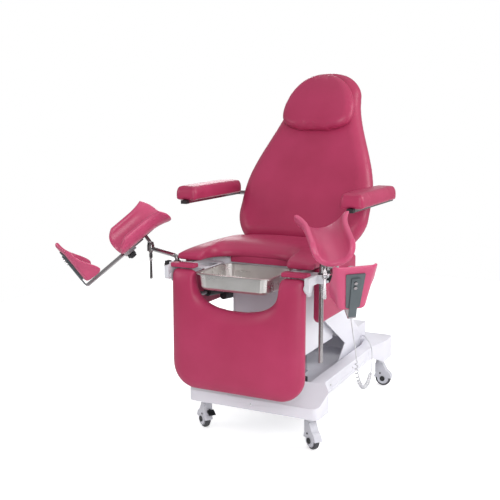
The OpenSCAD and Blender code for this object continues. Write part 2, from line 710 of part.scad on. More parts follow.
// A piece drawn with x across, y up the slope and z out of the front
module on_back() {
    back_place() rotate([90, 0, 0]) children();
}
hip_share = 1.03;
function back_half(u) =
    let(t = (u - 0.265 * back_l) / (0.635 * back_l),
        top = (u - 0.86 * back_l) / (0.14 * back_l), low = 1 - u / (0.16 * back_l),
        body = neck_w + (pad_w / 2 * hip_share - neck_w) * (1 - smooth(t)))
    body * sqrt(max(0.05, 1 - pow(max(0, top), 2) * 0.97))
         * (1 - 0.21 * pow(max(0, low), 2));
back_row_share = [0, 0.006, 0.022, 0.05, 0.1, 0.17, 0.25, 0.34, 0.43, 0.52, 0.61, 0.7,
                  0.78, 0.85, 0.9, 0.94, 0.968, 0.988, 1];
back_column_share = [0, 0.3, 0.58, 0.78, 0.9, 0.97, 1];
module back_cushion() {
    edge_r = 38;
    cols = mirrored(back_column_share);
    rim = 30;
    function ex(c, u) = back_half(u) * (1 - abs(c));
    function ey(u) = min(u, back_l - u);
    color("palevioletred") on_back() translate([0, back_start, back_front]) grid_solid(
        [for (c = cols) [for (s = back_row_share) let(u = s * back_l)
            [c * back_half(u), u, rim + (back_t - rim) * lip(ex(c, u), edge_r) * lip(ey(u), edge_r)
             + crown * (1 - c * c) * 4 * s * (1 - s)]]],
        [for (c = cols) [for (s = back_row_share) let(u = s * back_l)
            [c * back_half(u), u, pad_tuck * (1 - lip(ex(c, u), pad_tuck) * lip(ey(u), pad_tuck))]]]);
}
// D-shaped pillow that follows the front of the back cushion
pillow_w = 342;
pillow_l = 290;
pillow_u = 572;
pillow_t = 42;
pillow_row_share = [0, 0.03, 0.1, 0.22, 0.38, 0.55, 0.7, 0.83, 0.93, 0.98, 1];
function pillow_half(s) =
    s < 0.34 ? pillow_w / 2 * pow(max(0.12, 1 - pow(1 - s / 0.34, 2.6)), 1 / 2.6)
             : pillow_w / 2 * sqrt(max(0.045, 1 - pow((s - 0.34) / 0.66, 2)));
module head_pillow() {
    edge_r = 40;
    rim = 16;
    cols = mirrored(back_column_share);
    function ex(c, s) = pillow_half(s) * (1 - abs(c));
    function ey(s) = pillow_l * min(s, 1 - s);
    // Height of the back cushion's front under the pillow
    function rest(c, s) =
        let(u = pillow_u - back_start + s * pillow_l, t = u / back_l,
            k = c * pillow_half(s) / back_half(u))
        back_front + back_t + max(0, crown * (1 - k * k) * 4 * t * (1 - t)) + 2 * seat_gap;
    color("palevioletred") on_back() translate([0, pillow_u, 0]) grid_solid(
        [for (c = cols) [for (s = pillow_row_share)
            [c * pillow_half(s), s * pillow_l,
             rest(c, s) + rim + (pillow_t - rim) * lip(ex(c, s), edge_r) * lip(ey(s), edge_r)
             + crown / 2 * (1 - c * c) * 4 * s * (1 - s)]]],
        [for (c = cols) [for (s = pillow_row_share)
            [c * pillow_half(s), s * pillow_l, rest(c, s)
             + pad_tuck / 2 * (1 - lip(ex(c, s), pad_tuck) * lip(ey(s), pad_tuck))]]]);
}
arm_pivot_y = 105;
arm_pivot_z = 955;
arm_shaft_r = 10;
arm_rel = [arm_pivot_y - pivot_y, arm_pivot_z - pivot_z];
arm_u = arm_rel[0] * sin(back_lean) + arm_rel[1] * cos(back_lean);
arm_n = arm_rel[1] * sin(back_lean) - arm_rel[0] * cos(back_lean);
module back_frame() color("gainsboro") {
    tube_x = pad_w / 2 - 140;
    tube_w = 30;
    // Ladder frame behind the cushion
    on_back() {
        both_sides()
            block(tube_x, tube_x + tube_w, -pivot_r, arm_u + 250, frame_n0, frame_n1);
        for (u = [24, arm_u - 12, arm_u + 220])
            block(-tube_x - cut, tube_x + cut, u, u + 28, frame_n0, frame_n1);
        // Board of the cushion
        block(-tube_x - 40, tube_x + 40, back_start + 60, arm_u + 240, frame_n1 - cut,
              back_front - seat_gap);
        // Sleeves that the armrest shafts turn in
        both_sides() difference() {
            bar_x(arm_shaft_r + 5, tube_x + 4, pad_w / 2 - 30, arm_u, arm_n);
            bar_x(arm_shaft_r + run, pad_w / 2 - 102, pad_w / 2, arm_u, arm_n);
        }
        // Actuator lug
        difference() {
            translate([lug_x, 0, 0]) rotate([0, 90, 0]) rotate([0, 0, 90])
                linear_extrude(lug_t) polygon(rounded([
                    [52, frame_n0 + 2], [24, frame_n0 + 2], [lug_u - 13, lug_n + 4],
                    [lug_u - 3, lug_n - 13], [lug_u + 14, lug_n - 6]],
                    [1, 3, 7, 7, 7]));
            bar_x(6 + run, lug_x - cut, lug_x + lug_t + cut, lug_u, lug_n);
        }
    }
    // Pivot shaft
    bar_x(pivot_r, -seat_rail_x, seat_rail_x, pivot_y, pivot_z);
}

// Linear actuators. The tubes are fixed to the seat frame, the rods slide.
lug_reach = 80;
lug_angle = 237.6;
lug_u = lug_reach * cos(lug_angle);
lug_n = lug_reach * sin(lug_angle);
lug_x = 101;
lug_t = 6;
back_rod_x = 92;
back_lug_y = pivot_y + lug_u * sin(back_lean) - lug_n * cos(back_lean);
back_rod_z = pivot_z + lug_u * cos(back_lean) + lug_n * sin(back_lean);
back_base_y = back_lug_y - 326;
leg_rod_x = 16 - leg_tube_x;
leg_lug_out = leg_t / 2 + 36;
leg_lug_down = 80;
leg_lug = [hinge_y + leg_lug_out, hinge_z - leg_lug_down];
// Slope of the line between the lug's places with the leg section down and up
act_rise = atan((leg_lug_down - leg_lug_out) / (leg_lug_down + leg_lug_out));
leg_base = [leg_lug[0] + 330 * cos(act_rise), leg_lug[1] - 330 * sin(act_rise)];
act_tube_r = 17;
act_rod_r = 8;
// Tube with motor housing, from its rear pin at the origin along +x
module actuator_tube(l) {
    difference() {
        union() {
            rotate([0, 90, 0]) translate([0, 0, 14]) cylinder(r = act_tube_r, h = l - 14);
            // Motor beside the tube
            translate([20, 0, -act_tube_r - 12]) rotate([0, 90, 0]) cylinder(r = 16, h = 90);
            block(20, 62, -act_tube_r + 2, act_tube_r - 2, -act_tube_r - 14, 0);
            rotate([0, 90, 0]) translate([0, 0, 8 + seat_gap]) cylinder(r = 8, h = 8);
        }
        translate([30, 0, 0]) rotate([0, 90, 0]) cylinder(r = act_rod_r + run, h = l);
    }
}
// Rod from x = a inside the tube to its eye at x = b
module actuator_rod(a, b) {
    difference() {
        union() {
            translate([a, 0, 0]) rotate([0, 90, 0]) cylinder(r = act_rod_r, h = b - a - 6);
            translate([b, 0, 0]) rotate([90, 0, 0]) cylinder(r = 11, h = 12, center = true);
        }
        translate([b, 0, 0]) rotate([90, 0, 0]) cylinder(r = 6 + run, h = 14, center = true);
    }
    translate([b, 0, 0]) rotate([90, 0, 0]) cylinder(r = 6, h = 12, center = true);
}
module back_act_place() {
    translate([back_rod_x, back_base_y, back_rod_z]) rotate([0, 0, 90]) children();
}
module leg_act_place() {
    translate([leg_rod_x, leg_base[0], leg_base[1]]) rotate([0, 0, -90])
        rotate([0, -act_rise, 0]) children();
}
module back_actuator() color("dimgray") back_act_place() actuator_tube(215);
module back_actuator_rod() color("silver") back_act_place() actuator_rod(120, 326);
module leg_actuator() color("dimgray") leg_act_place() actuator_tube(250);
module leg_actuator_rod() color("silver") leg_act_place() actuator_rod(50, 330);

// Armrests
arm_x = pad_w / 2 + arm_gap + arm_w / 2;
arm_bar_w = 25;
arm_bar_t = 14;
arm_pad_t = 44;
arm_front_y = arm_pivot_y - 51 - arm_l;
module armrest_bar() color("gainsboro") {
    front = arm_front_y;
    // Flat bar under the pad, curving in to the shaft behind the backrest
    block(arm_x - arm_bar_w / 2, arm_x + arm_bar_w / 2, front + 12, arm_pivot_y + arm_shaft_r + 4,
          arm_pivot_z - arm_bar_t / 2, arm_pivot_z + arm_bar_t / 2);
    bar_x(arm_shaft_r, pad_w / 2 - 100, arm_x, arm_pivot_y, arm_pivot_z);
    // Black end cap
    block(arm_x - arm_bar_w / 2 - 1, arm_x + arm_bar_w / 2 + 1, front - 12, front + 12 - seat_gap,
          arm_pivot_z - arm_bar_t / 2 - 1, arm_pivot_z + arm_bar_t / 2);
}
module armrest_pad() color("palevioletred") {
    translate([arm_x, arm_front_y, arm_pivot_z + arm_bar_t / 2 + seat_gap])
        plain_pad(arm_w / 2, arm_l, arm_pad_t, 16, 4, 22);
}

// Leg section
leg_corner_r = 100;
leg_cut_d = 146;
module on_leg() {
    translate([0, hinge_y + leg_t / 2, hinge_z + leg_t / 2 - leg_l]) rotate([90, 0, 0]) children();
}
module leg_pad() color("palevioletred") {
    xs = horned(leg_half);
    on_leg() pad(xs, [for (x = xs) round_off(leg_half - abs(x), leg_corner_r)],
        [for (x = xs) leg_l - horn_edge(x, leg_half, leg_cut_d, horn_r, 2.5)],
        leg_half, leg_t - 10, leg_edge_r, leg_rise);
}
module leg_frame() color("gainsboro") {
    back = hinge_y + leg_t / 2 + seat_gap;
    tube = 26;
    top = hinge_z - 12;
    low = hinge_z + leg_t / 2 - leg_l + 60;
    both_sides() {
        block(leg_tube_x, leg_tube_x + tube, back, back + tube, low, top);
        block(leg_tube_x, leg_half + 6, back, back + tube, top - tube, top);
        // Ear beside the pad with the hinge pin
        side_plate([[back + tube, top - tube], [back + tube, top], [hinge_y, hinge_z + 14],
                    [hinge_y - 15, hinge_z], [hinge_y, hinge_z - 15], [back, top - tube]],
                   [2, 2, 12, 10, 12, 2], leg_half + 1, leg_half + 6);
        bar_x(hinge_pin_r, leg_half + 5, hinge_arm_x + hinge_arm_t, hinge_y, hinge_z);
    }
    for (z = [low, hinge_z - leg_cut_d - 20])
        block(-leg_tube_x - cut, leg_tube_x + cut, back, back + tube, z, z + tube);
    // Actuator lug on the inner face of the left tube
    difference() {
        side_plate([[back + 1, leg_lug[1] - 24], [leg_lug[0] + 12, leg_lug[1] - 10],
                    [leg_lug[0] + 12, leg_lug[1] + 10], [back + 1, leg_lug[1] + 24]],
                   [3, 9, 9, 3], -leg_tube_x - cut, 6 - leg_tube_x);
        bar_x(6 + run, -leg_tube_x, 6 - leg_tube_x + cut, leg_lug[0], leg_lug[1]);
    }
}

// Leg supports, drawn for the right side about their rod and mirrored for the left
arm_reach = 146;
arm_rise = 7;
head_drop = 22;
rod_bend_r = 18;
rod_drop = 391;
// The bend is a hair thicker than the straight lengths that run into its ends
joint_lap = 0.3;
bend_swell = 0.1;
sleeve_h = 22;
sleeve_r = 15;
head_pin_r = 8;
fork_half = 7;
eye_r = 6.6;
cheek_t = 5;
stem_h = 53;
shell_attach = 107;
shell_t = 22;
knob_r = 18;
knob_out = 33;
bar_w = 25;
bar_t = 5;
bar_l = 300;
foot_rise = 14;
// Side, swing, joint height, yaw, pitch, roll and foot reach of each support
left_support = [1, left_swing, left_joint_z, 32.6, 37.3, 7.2, 190];
right_support = [0, right_swing, right_joint_z, 34.2, 27.1, 3.6, 256];
module support_side(s) {
    mirror([s[0], 0, 0]) translate([clamp_x, clamp_y, 0]) children();
}
// Rod frame: z up, -y along the arm
module rod_place(s) {
    support_side(s) rotate([0, 0, s[1]]) children();
}
// Joint frame: origin at the tilt pin, axes of the world turned by the yaw only
module head_place(s) {
    rod_place(s) translate([0, -arm_reach, s[2]]) rotate([0, 0, s[3] - s[1]]) children();
}
// Shell frame: origin at the tilt pin, x across the shell, -y towards the foot, z out
module shell_place(s) {
    head_place(s) rotate([0, -s[5], 0]) rotate([s[4], 0, 0]) children();
}
module clamp_bush(s) color("dimgray") support_side(s) difference() {
    union() {
        translate([0, 0, clamp_z0 - 3]) cylinder(r = bush_r, h = clamp_z1 - clamp_z0 + 3);
        translate([0, 0, clamp_z1 + seat_gap]) cylinder(r = bush_r + 1.5, h = 3);
        translate([0, 0, clamp_z1 - cut]) cylinder(r = bush_r, h = 2 * cut);
    }
    translate([0, 0, clamp_z0 - 5]) cylinder(r = rod_r + run, h = clamp_z1 - clamp_z0 + 12);
}
module support_rod(s) color("silver") rod_place(s) {
    slope = 90 - arm_rise;
    end = arm_reach - sleeve_r + 4;
    arm_z = s[2] - head_drop;
    bend_z = arm_z - arm_reach * tan(arm_rise);
    tangent = rod_bend_r * tan(slope / 2);
    // Upright
    translate([0, 0, bend_z - rod_drop])
        cylinder(r = rod_r, h = rod_drop - tangent + joint_lap);
    // Bend
    translate([0, -rod_bend_r, bend_z - tangent]) rotate([90, 0, 90])
        rotate_extrude(angle = slope) translate([rod_bend_r, 0]) circle(r = rod_r + bend_swell);
    // Sloping arm
    translate([0, 0, bend_z]) rotate([90 - arm_rise, 0, 0])
        translate([0, 0, tangent - joint_lap])
            cylinder(r = rod_r, h = end / cos(arm_rise) - tangent + joint_lap);
    // Upright sleeve at the arm's end
    translate([0, -arm_reach, arm_z - sleeve_h / 2]) difference() {
        cylinder(r = sleeve_r, h = sleeve_h);
        translate([0, 0, -cut]) cylinder(r = head_pin_r + run, h = sleeve_h + 2 * cut);
    }
}
module star_knob() {
    difference() {
        union() {
            cylinder(r = knob_r - 4, h = 20);
            for (k = [0:4]) rotate([0, 0, 72 * k]) translate([knob_r - 5, 0, 2])
                cylinder(r = 6, h = 16, $fn = small_fn);
        }
    }
}
module clamp_knob(s) color("black") support_side(s) translate([0, 0, (clamp_z0 + clamp_z1) / 2]) {
    bar_x(5, bush_r + seat_gap, knob_out + 4, 0, 0);
    translate([knob_out, 0, 0]) rotate([0, 90, 0]) star_knob();
}
module joint_head(s) color("silver") {
    head_place(s) {
        // Pin through the rod's sleeve, with a tongue for the lever
        translate([0, 0, -head_drop - sleeve_h / 2 - 7]) cylinder(r = head_pin_r, h = sleeve_h + 10);
        translate([0, 0, -head_drop + sleeve_h / 2 + seat_gap]) cylinder(r = sleeve_r, h = 3);
        difference() {
            block(-3, 3, -5, 5, lever_z - 5, -head_drop - sleeve_h / 2 - 6);
            translate([0, 0, lever_z]) bar_x(2.5 + run, -4, 4, 0, 0);
        }
        // Fork
        rotate([0, -s[5], 0]) both_sides() difference() {
            union() {
                block(fork_half, fork_half + cheek_t, -9, 9, -9.5, 0);
                bar_x(9, fork_half, fork_half + cheek_t, 0, 0);
            }
            bar_x(5 + run, fork_half - cut, fork_half + cheek_t + cut, 0, 0);
        }
    }
}
lever_z = -50;
// Hanging lever: clevis, ring and drop-shaped grip
module joint_lever(s) color("silver") head_place(s) translate([0, 0, lever_z]) {
    ring_r = 8;
    drop = 74;
    difference() {
        block(-6, 6, -5, 5, -12, 5);
        block(-3.5, 3.5, -6, 6, -7, 6);
    }
    bar_x(2.5, -6, 6, 0, 0);
    translate([0, 0, -12 - ring_r]) rotate([90, 0, 0])
        rotate_extrude() translate([ring_r, 0]) circle(r = 2.5, $fn = small_fn);
    translate([0, 0, -12 - 2 * ring_r - drop]) rotate([90, 0, 0]) linear_extrude(7, center = true)
        union() {
            translate([0, 7]) circle(r = 7);
            polygon([[-6.9, 8], [6.9, 8], [2.5, drop], [-2.5, drop]]);
        }
}
module shell_bracket(s) color("silver") shell_place(s) {
    plate_z = stem_h - 5;
    guide_y = shell_attach - shell_l + 10;
    // Eye, pin and stem
    difference() {
        union() {
            bar_x(eye_r, -fork_half + 0.4, fork_half - 0.4, 0, 0);
            block(-fork_half + 0.4, fork_half - 0.4, -eye_r, eye_r, 0, plate_z + cut);
        }
    }
    bar_x(5, -fork_half - cheek_t, fork_half + cheek_t, 0, 0);
    // Plate under the shell
    block(-20, 20, guide_y, 40, plate_z, stem_h - seat_gap);
    // Guide of the foot bar
    difference() {
        block(-20, 20, guide_y, guide_y + 55, plate_z - 13, plate_z + cut);
        block(-bar_w / 2 - 0.4, bar_w / 2 + 0.4, guide_y - cut, guide_y + 55 + cut,
              plate_z - 9, plate_z - 9 + bar_t + 0.8);
        translate([0, guide_y + 27, plate_z - 14]) cylinder(r = 4 + run, h = 10, $fn = small_fn);
    }
}
module bracket_knob(s) color("black") shell_place(s)
    translate([0, shell_attach - shell_l + 37, stem_h - 14 - seat_gap]) mirror([0, 0, 1]) {
        cylinder(r = 4, h = 16, $fn = small_fn);
        translate([0, 0, 12]) star_knob();
    }
// Half-round calf shell, thick and soft at its rims, flared at the knee
shell_angle = 92;
shell_flat = 0.15;
// The flat facet along the shell's lowest line lies on the bracket's plate
shell_z = stem_h + shell_r * cos(shell_flat * shell_angle);
shell_across_share = [-1, -0.985, -0.93, -0.8, -0.6, -0.38, -0.15, 0.15, 0.38, 0.6, 0.8, 0.93, 0.985, 1];
shell_along_share = [0, 0.02, 0.07, 0.16, 0.32, 0.62, 0.88, 0.97, 1];
module calf_shell(s) {
    mid = shell_r - shell_t / 2;
    flare = 24;
    corner_cut = 46;
    knee_cut = 34;
    knee_reach = 12;
    function along(a, t) =
        let(start = knee_cut * pow(abs(a), 5) - knee_reach,
            end = shell_l - corner_cut * pow(abs(a), 6)) start + t * (end - start);
    function swell(t) = flare * pow(max(0, 1 - t / 0.3), 2);
    function soft(a, t) =
        let(e = min(shell_r * shell_angle * PI / 180 * (1 - abs(a)), shell_l * min(t, 1 - t)))
        shell_t / 2 * (0.35 + 0.65 * lip(e, shell_t * 0.6));
    function at(a, t, side) =
        let(r = mid + swell(t) + side * soft(a, t), ang = a * shell_angle)
        [r * sin(ang), shell_attach - along(a, t), shell_z - r * cos(ang)];
    color("palevioletred") shell_place(s) grid_solid(
        [for (a = shell_across_share)
            [for (k = [len(shell_along_share) - 1:-1:0]) at(a, shell_along_share[k], -1)]],
        [for (a = shell_across_share)
            [for (k = [len(shell_along_share) - 1:-1:0]) at(a, shell_along_share[k], 1)]]);
}
// Flat bar that runs under the calf shell and turns up behind the foot
module foot_bar(s) color("silver") shell_place(s) {
    z = stem_h - 14 + 0.4;
    reach = shell_l - shell_attach + s[6];
    bend = 12;
    up = 165;
    block(-bar_w / 2, bar_w / 2, -reach + bend, -reach + bar_l, z, z + bar_t);
    translate([0, -reach + bend, z + bend]) rotate([0, 90, 0]) rotate([0, 0, 0])
        linear_extrude(bar_w, center = true) difference() {
            intersection() {
                circle(r = bend);
                translate([0, -bend]) square([bend, bend]);
            }
            circle(r = bend - bar_t);
        }
    block(-bar_w / 2, bar_w / 2, -reach, -reach + bar_t, z + bend, z + up);
    // Grey backing plate and two bolt heads
    translate([0, -reach + bar_t + 4, 0]) rotate([90, 0, 0])
        plate([[-22, z + 46], [22, z + 46], [31, z + up + 14], [-31, z + up + 14]],
              [4, 4, 4, 4], 4 - seat_gap);
    for (k = [0, 1])
        translate([0, -reach, z + up - 14 - k * 18]) rotate([90, 0, 0]) cylinder(r = 6, h = 5, $fn = 6);
}
// Foot shell: a plate whose sides wrap the heel and flatten towards the toes
module foot_shell(s) {
    t = 7;
    z = stem_h - 14 + 0.4 + 34;
    reach = shell_l - shell_attach + s[6];
    across = [[-1, 1], [-0.84, 0.5], [-0.7, 0.08], [-0.6, 0], [0, 0], [0.6, 0], [0.7, 0.08],
              [0.84, 0.5], [1, 1]];
    function half(k) = 42 + 24 * k;
    function deep(k) = 62 - 48 * smooth(k / 0.9);
    rows = [0, 0.06, 0.2, 0.4, 0.6, 0.8, 1];
    function at(a, k, out) = [
        a[0] * half(k), -reach + bar_t + 4.3 + out * t + a[1] * deep(k), z + k * foot_l];
    color("palevioletred") shell_place(s) grid_solid(
        [for (i = [len(across) - 1:-1:0]) [for (k = rows) at(across[i], k, 1)]],
        [for (i = [len(across) - 1:-1:0]) [for (k = rows) at(across[i], k, 0)]]);
}

// Handset on the right skirt, with three rocker keys
hand_x = skirt_x + skirt_t + 8;
hand_y = -218;
hand_z0 = 578;
hand_w = 52;
hand_h = 128;
hand_t = 24;
key_w = 26;
key_h = 20;
key_step = 29;
key_top = 34;
key_pin = 3.5;
module handset_outline(t) {
    rotate([90, 0, 90]) plate(
        [[hand_y - hand_w / 2 + 6, hand_z0], [hand_y + hand_w / 2 - 6, hand_z0],
         [hand_y + hand_w / 2, hand_z0 + hand_h], [hand_y - hand_w / 2, hand_z0 + hand_h]],
        [10, 10, 10, 10], t);
}
module handset() color("lightgray") {
    difference() {
        translate([hand_x, 0, 0]) handset_outline(hand_t);
        for (k = [0:2])
            translate([hand_x + hand_t - 6, hand_y, hand_z0 + hand_h - key_top - k * key_step])
                block(0, 7, -key_w / 2 - 0.6, key_w / 2 + 0.6, -key_h / 2 - 0.6, key_h / 2 + 0.6);
        for (k = [0:2])
            translate([hand_x + hand_t - key_pin, hand_y - key_w / 2 - 3.05,
                       hand_z0 + hand_h - key_top - k * key_step])
                rotate([-90, 0, 0]) cylinder(r = 1.55, h = key_w + 6.1, $fn = small_fn);
    }
    // Hook over the skirt's rail
    block(skirt_x + skirt_t + 1 + seat_gap, hand_x + cut, hand_y - 12, hand_y + 12,
          hand_z0 + 40, hand_z0 + hand_h - 6);
    translate([hand_x + hand_t / 2, hand_y, hand_z0 - 10]) cylinder(r = 6, h = 12);
}
module key(k) color("white")
    translate([hand_x + hand_t, hand_y, hand_z0 + hand_h - key_top - k * key_step]) {
        rotate([90, 0, 0]) linear_extrude(key_w, center = true)
            polygon([[-5, -4], [-5, 4], [1, key_h / 2], [2.4, key_h / 2 - 1], [1.4, 0],
                     [2.4, 1 - key_h / 2], [1, -key_h / 2]]);
        translate([-key_pin, 0, 0]) rotate([90, 0, 0])
            cylinder(r = 1.5, h = key_w + 6, center = true, $fn = small_fn);
    }

// Handset cord: a thin run, a curly middle and a thin run into the tower's grommet
cord_r = 2.5;
// The slanting end of the cord stops this far out from the tower's side, at the grommet's mouth
cord_stop = 2;
curl_r = 9;
upper_cord = [
    [318, -218, 568], [318, -218, 530], [322, -222, 490], [330, -228, 450],
    [336, -226, 410], [340, -215, 365], [342, -203, 318]];
curl_route = [
    [342, -203, 318], [343, -202, 270], [345, -185, 225], [344, -152, 190], [340, -110, 166],
    [333, -64, 152], [326, -16, 147], [318, 32, 150], [309, 76, 158], [301, 120, 166]];
lower_cord = [
    [301, 120, 166], [294, 148, 176], [287, 170, 196], [280, 192, 218], [270, 216, 238],
    [256, 240, 253], [236, 268, 264], [214, 298, 268], [197, 326, 268],
    [tower_w + wall + cord_stop, gland_y, gland_z]];
cord_sides = 8;
function spread(v) = abs(v[2]) < 0.9 ? [0, 0, 1] : [1, 0, 0];
// Ring of points round p, square to the direction d
function ring(p, d, r, n, from = 0) =
    let(a = unit(cross(d, spread(d))), b = cross(d, a))
    [for (k = [0:n - 1]) p + r * (cos(from + 360 * k / n) * a + sin(from + 360 * k / n) * b)];
function direction(route, i) =
    unit(route[min(i + 1, len(route) - 1)] - route[max(i - 1, 0)]);
// Point of a smooth curve through the route, at a place t counted in route points
function on_route(route, t) =
    let(n = len(route), i = min(floor(t), n - 2), f = t - i,
        p1 = route[i], p2 = route[i + 1],
        p0 = i > 0 ? route[i - 1] : 2 * p1 - p2, p3 = i + 2 < n ? route[i + 2] : 2 * p2 - p1)
    0.5 * (2 * p1 + (p2 - p0) * f + (2 * p0 - 5 * p1 + 4 * p2 - p3) * f * f
           + (3 * p1 - p0 - 3 * p2 + p3) * f * f * f);
// Tube from a list of rings, with flat ends
module ring_tube(rings) {
    m = len(rings[0]);
    n = len(rings);
    polyhedron(
        points = [for (r = rings) each r],
        faces = concat([[for (i = [0:m - 1]) i]], [[for (i = [m - 1:-1:0]) (n - 1) * m + i]],
            [for (k = [0:n - 2]) for (i = [0:m - 1]) let(j = (i + 1) % m)
                each [[k * m + i, (k + 1) * m + i, (k + 1) * m + j],
                      [k * m + i, (k + 1) * m + j, k * m + j]]]));
}
route_steps = 2;
function resampled(route) =
    [for (i = [0:(len(route) - 1) * route_steps]) on_route(route, i / route_steps)];
module plain_cord(route) {
    pts = resampled(route);
    ring_tube([for (i = [0:len(pts) - 1]) ring(pts[i], direction(pts, i), cord_r, cord_sides)]);
}
module cord() color("lightgray") {
    plain_cord(upper_cord);
    plain_cord(lower_cord);
}
curls = 21;
curl_rings = 8;
curl_sides = 6;
curl_pts = resampled(curl_route);
// Helix point: the route's point at share t, turned out by the curl radius
function helix(t) =
    let(n = len(curl_route) - 1, p = on_route(curl_route, t * n),
        d = unit(on_route(curl_route, min(t * n + 0.02, n)) - on_route(curl_route, max(t * n - 0.02, 0))),
        a = unit(cross(d, [1, 0, 0.2])), b = cross(d, a),
        grow = min(1, min(t, 1 - t) * curls / 1.5), r = (curl_r - cord_r) * grow,
        ang = 360 * curls * t)
    p + r * (cos(ang) * a + sin(ang) * b);
helix_pts = [for (i = [0:curls * curl_rings]) helix(i / (curls * curl_rings))];
// Least gap between one curl and the next
curl_gap = min([for (i = [0:len(helix_pts) - 1 - curl_rings + 2])
    min([for (k = [curl_rings - 2:min(curl_rings + 2, len(helix_pts) - 1 - i)])
        norm(helix_pts[i + k] - helix_pts[i])])]) - 2 * cord_r;
module cord_curl() color("lightgray") {
    echo(least_gap_of_the_curly_cord = curl_gap);
    ring_tube([for (i = [0:len(helix_pts) - 1])
        ring(helix_pts[i], direction(helix_pts, i), cord_r, curl_sides)]);
}

base_frame();
base_cover();
tower_cover();
outer_column();
control_box();
caster_place(-axle_x, -axle_y, front_left_turn) fork(true);  // caster_fork_fl
caster_place(axle_x, -axle_y, front_right_turn) fork(false);  // caster_fork_fr
caster_place(-axle_x, axle_y, rear_left_turn) fork(true);  // caster_fork_rl
caster_place(axle_x, axle_y, rear_right_turn) fork(false);  // caster_fork_rr
caster_place(-axle_x, -axle_y, front_left_turn) wheel();  // wheel_fl
caster_place(axle_x, -axle_y, front_right_turn) wheel();  // wheel_fr
caster_place(-axle_x, axle_y, rear_left_turn) wheel();  // wheel_rl
caster_place(axle_x, axle_y, rear_right_turn) wheel();  // wheel_rr
caster_place(-axle_x, -axle_y, front_left_turn) pedal();  // brake_pedal_fl
caster_place(-axle_x, axle_y, rear_left_turn) pedal();  // brake_pedal_rl
inner_column();
column_cover();
seat_frame();
seat_cushion();
side_skirts();
instrument_tray();
back_frame();
back_cushion();
head_pillow();
back_actuator();
back_actuator_rod();
leg_actuator();
leg_actuator_rod();
mirror([1, 0, 0]) armrest_bar();  // armrest_bar_left
armrest_bar();  // armrest_bar_right
mirror([1, 0, 0]) armrest_pad();  // armrest_pad_left
armrest_pad();  // armrest_pad_right
leg_frame();
leg_pad();
clamp_bush(left_support);  // clamp_bush_left
clamp_bush(right_support);  // clamp_bush_right
support_rod(left_support);  // support_rod_left
support_rod(right_support);  // support_rod_right
clamp_knob(left_support);  // clamp_knob_left
clamp_knob(right_support);  // clamp_knob_right
joint_head(left_support);  // joint_head_left
joint_head(right_support);  // joint_head_right
joint_lever(left_support);  // joint_lever_left
joint_lever(right_support);  // joint_lever_right
shell_bracket(left_support);  // shell_bracket_left
shell_bracket(right_support);  // shell_bracket_right
calf_shell(left_support);  // calf_shell_left
calf_shell(right_support);  // calf_shell_right
bracket_knob(left_support);  // bracket_knob_left
bracket_knob(right_support);  // bracket_knob_right
foot_bar(left_support);  // foot_bar_left
foot_bar(right_support);  // foot_bar_right
foot_shell(left_support);  // foot_shell_left
foot_shell(right_support);  // foot_shell_right
handset();
key(0);  // key_lift
key(1);  // key_back
key(2);  // key_leg
cord();
cord_curl();
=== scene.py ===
import json
import math

import bpy
import numpy as np
from mathutils import Matrix, Vector


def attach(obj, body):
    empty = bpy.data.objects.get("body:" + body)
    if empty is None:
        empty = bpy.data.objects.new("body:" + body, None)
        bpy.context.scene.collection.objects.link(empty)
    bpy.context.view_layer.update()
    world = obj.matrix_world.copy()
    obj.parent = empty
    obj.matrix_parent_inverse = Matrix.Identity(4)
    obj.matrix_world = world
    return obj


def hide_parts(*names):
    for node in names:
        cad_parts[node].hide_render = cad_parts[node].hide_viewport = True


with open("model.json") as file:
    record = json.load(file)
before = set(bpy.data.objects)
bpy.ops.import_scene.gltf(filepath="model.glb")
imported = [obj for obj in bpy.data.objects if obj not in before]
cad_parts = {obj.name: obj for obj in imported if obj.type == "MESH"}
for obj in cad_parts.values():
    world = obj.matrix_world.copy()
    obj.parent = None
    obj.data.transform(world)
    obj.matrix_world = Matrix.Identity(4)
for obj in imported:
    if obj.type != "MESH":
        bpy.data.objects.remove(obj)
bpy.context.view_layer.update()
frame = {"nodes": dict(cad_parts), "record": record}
nodes = frame["nodes"]
MM = 0.001
body_of_node = {node: body for body, names in
                frame["record"]["behaviour"]["bodies"].items() for node in names}

# Camera: in front and to the right of the table, a little above the seat, as in the photograph
camera_data = bpy.data.cameras.new("clinic_camera")
camera = bpy.data.objects.new("clinic_camera", camera_data)
bpy.context.collection.objects.link(camera)
camera_data.sensor_fit = "HORIZONTAL"
camera_data.sensor_width = 36.0
camera_data.lens = 61.2
camera_data.clip_start = 0.05
camera_data.dof.use_dof = False
camera.location = (1.4707, -3.4542, 1.3329)
aim = Vector((-0.0144, -0.480, 0.7892)) - Vector(camera.location)
camera.rotation_euler = aim.to_track_quat("-Z", "Y").to_euler()
bpy.context.scene.camera = camera


# Colours and materials
def tone(code):
    """sRGB hex to linear RGBA."""
    parts = [int(code[i:i + 2], 16) / 255 for i in (0, 2, 4)]
    return [c / 12.92 if c <= 0.04045 else ((c + 0.055) / 1.055) ** 2.4 for c in parts] + [1.0]


def add(tree, kind, settings=None, values=None, links=None):
    """Adds a node to the tree with its settings, its values and its links."""
    made = tree.nodes.new(kind)
    for key, value in (settings or {}).items():
        setattr(made, key, value)
    for key, value in (values or {}).items():
        made.inputs[key].default_value = value
    for key, socket in (links or {}).items():
        tree.links.new(socket, made.inputs[key])
    return made


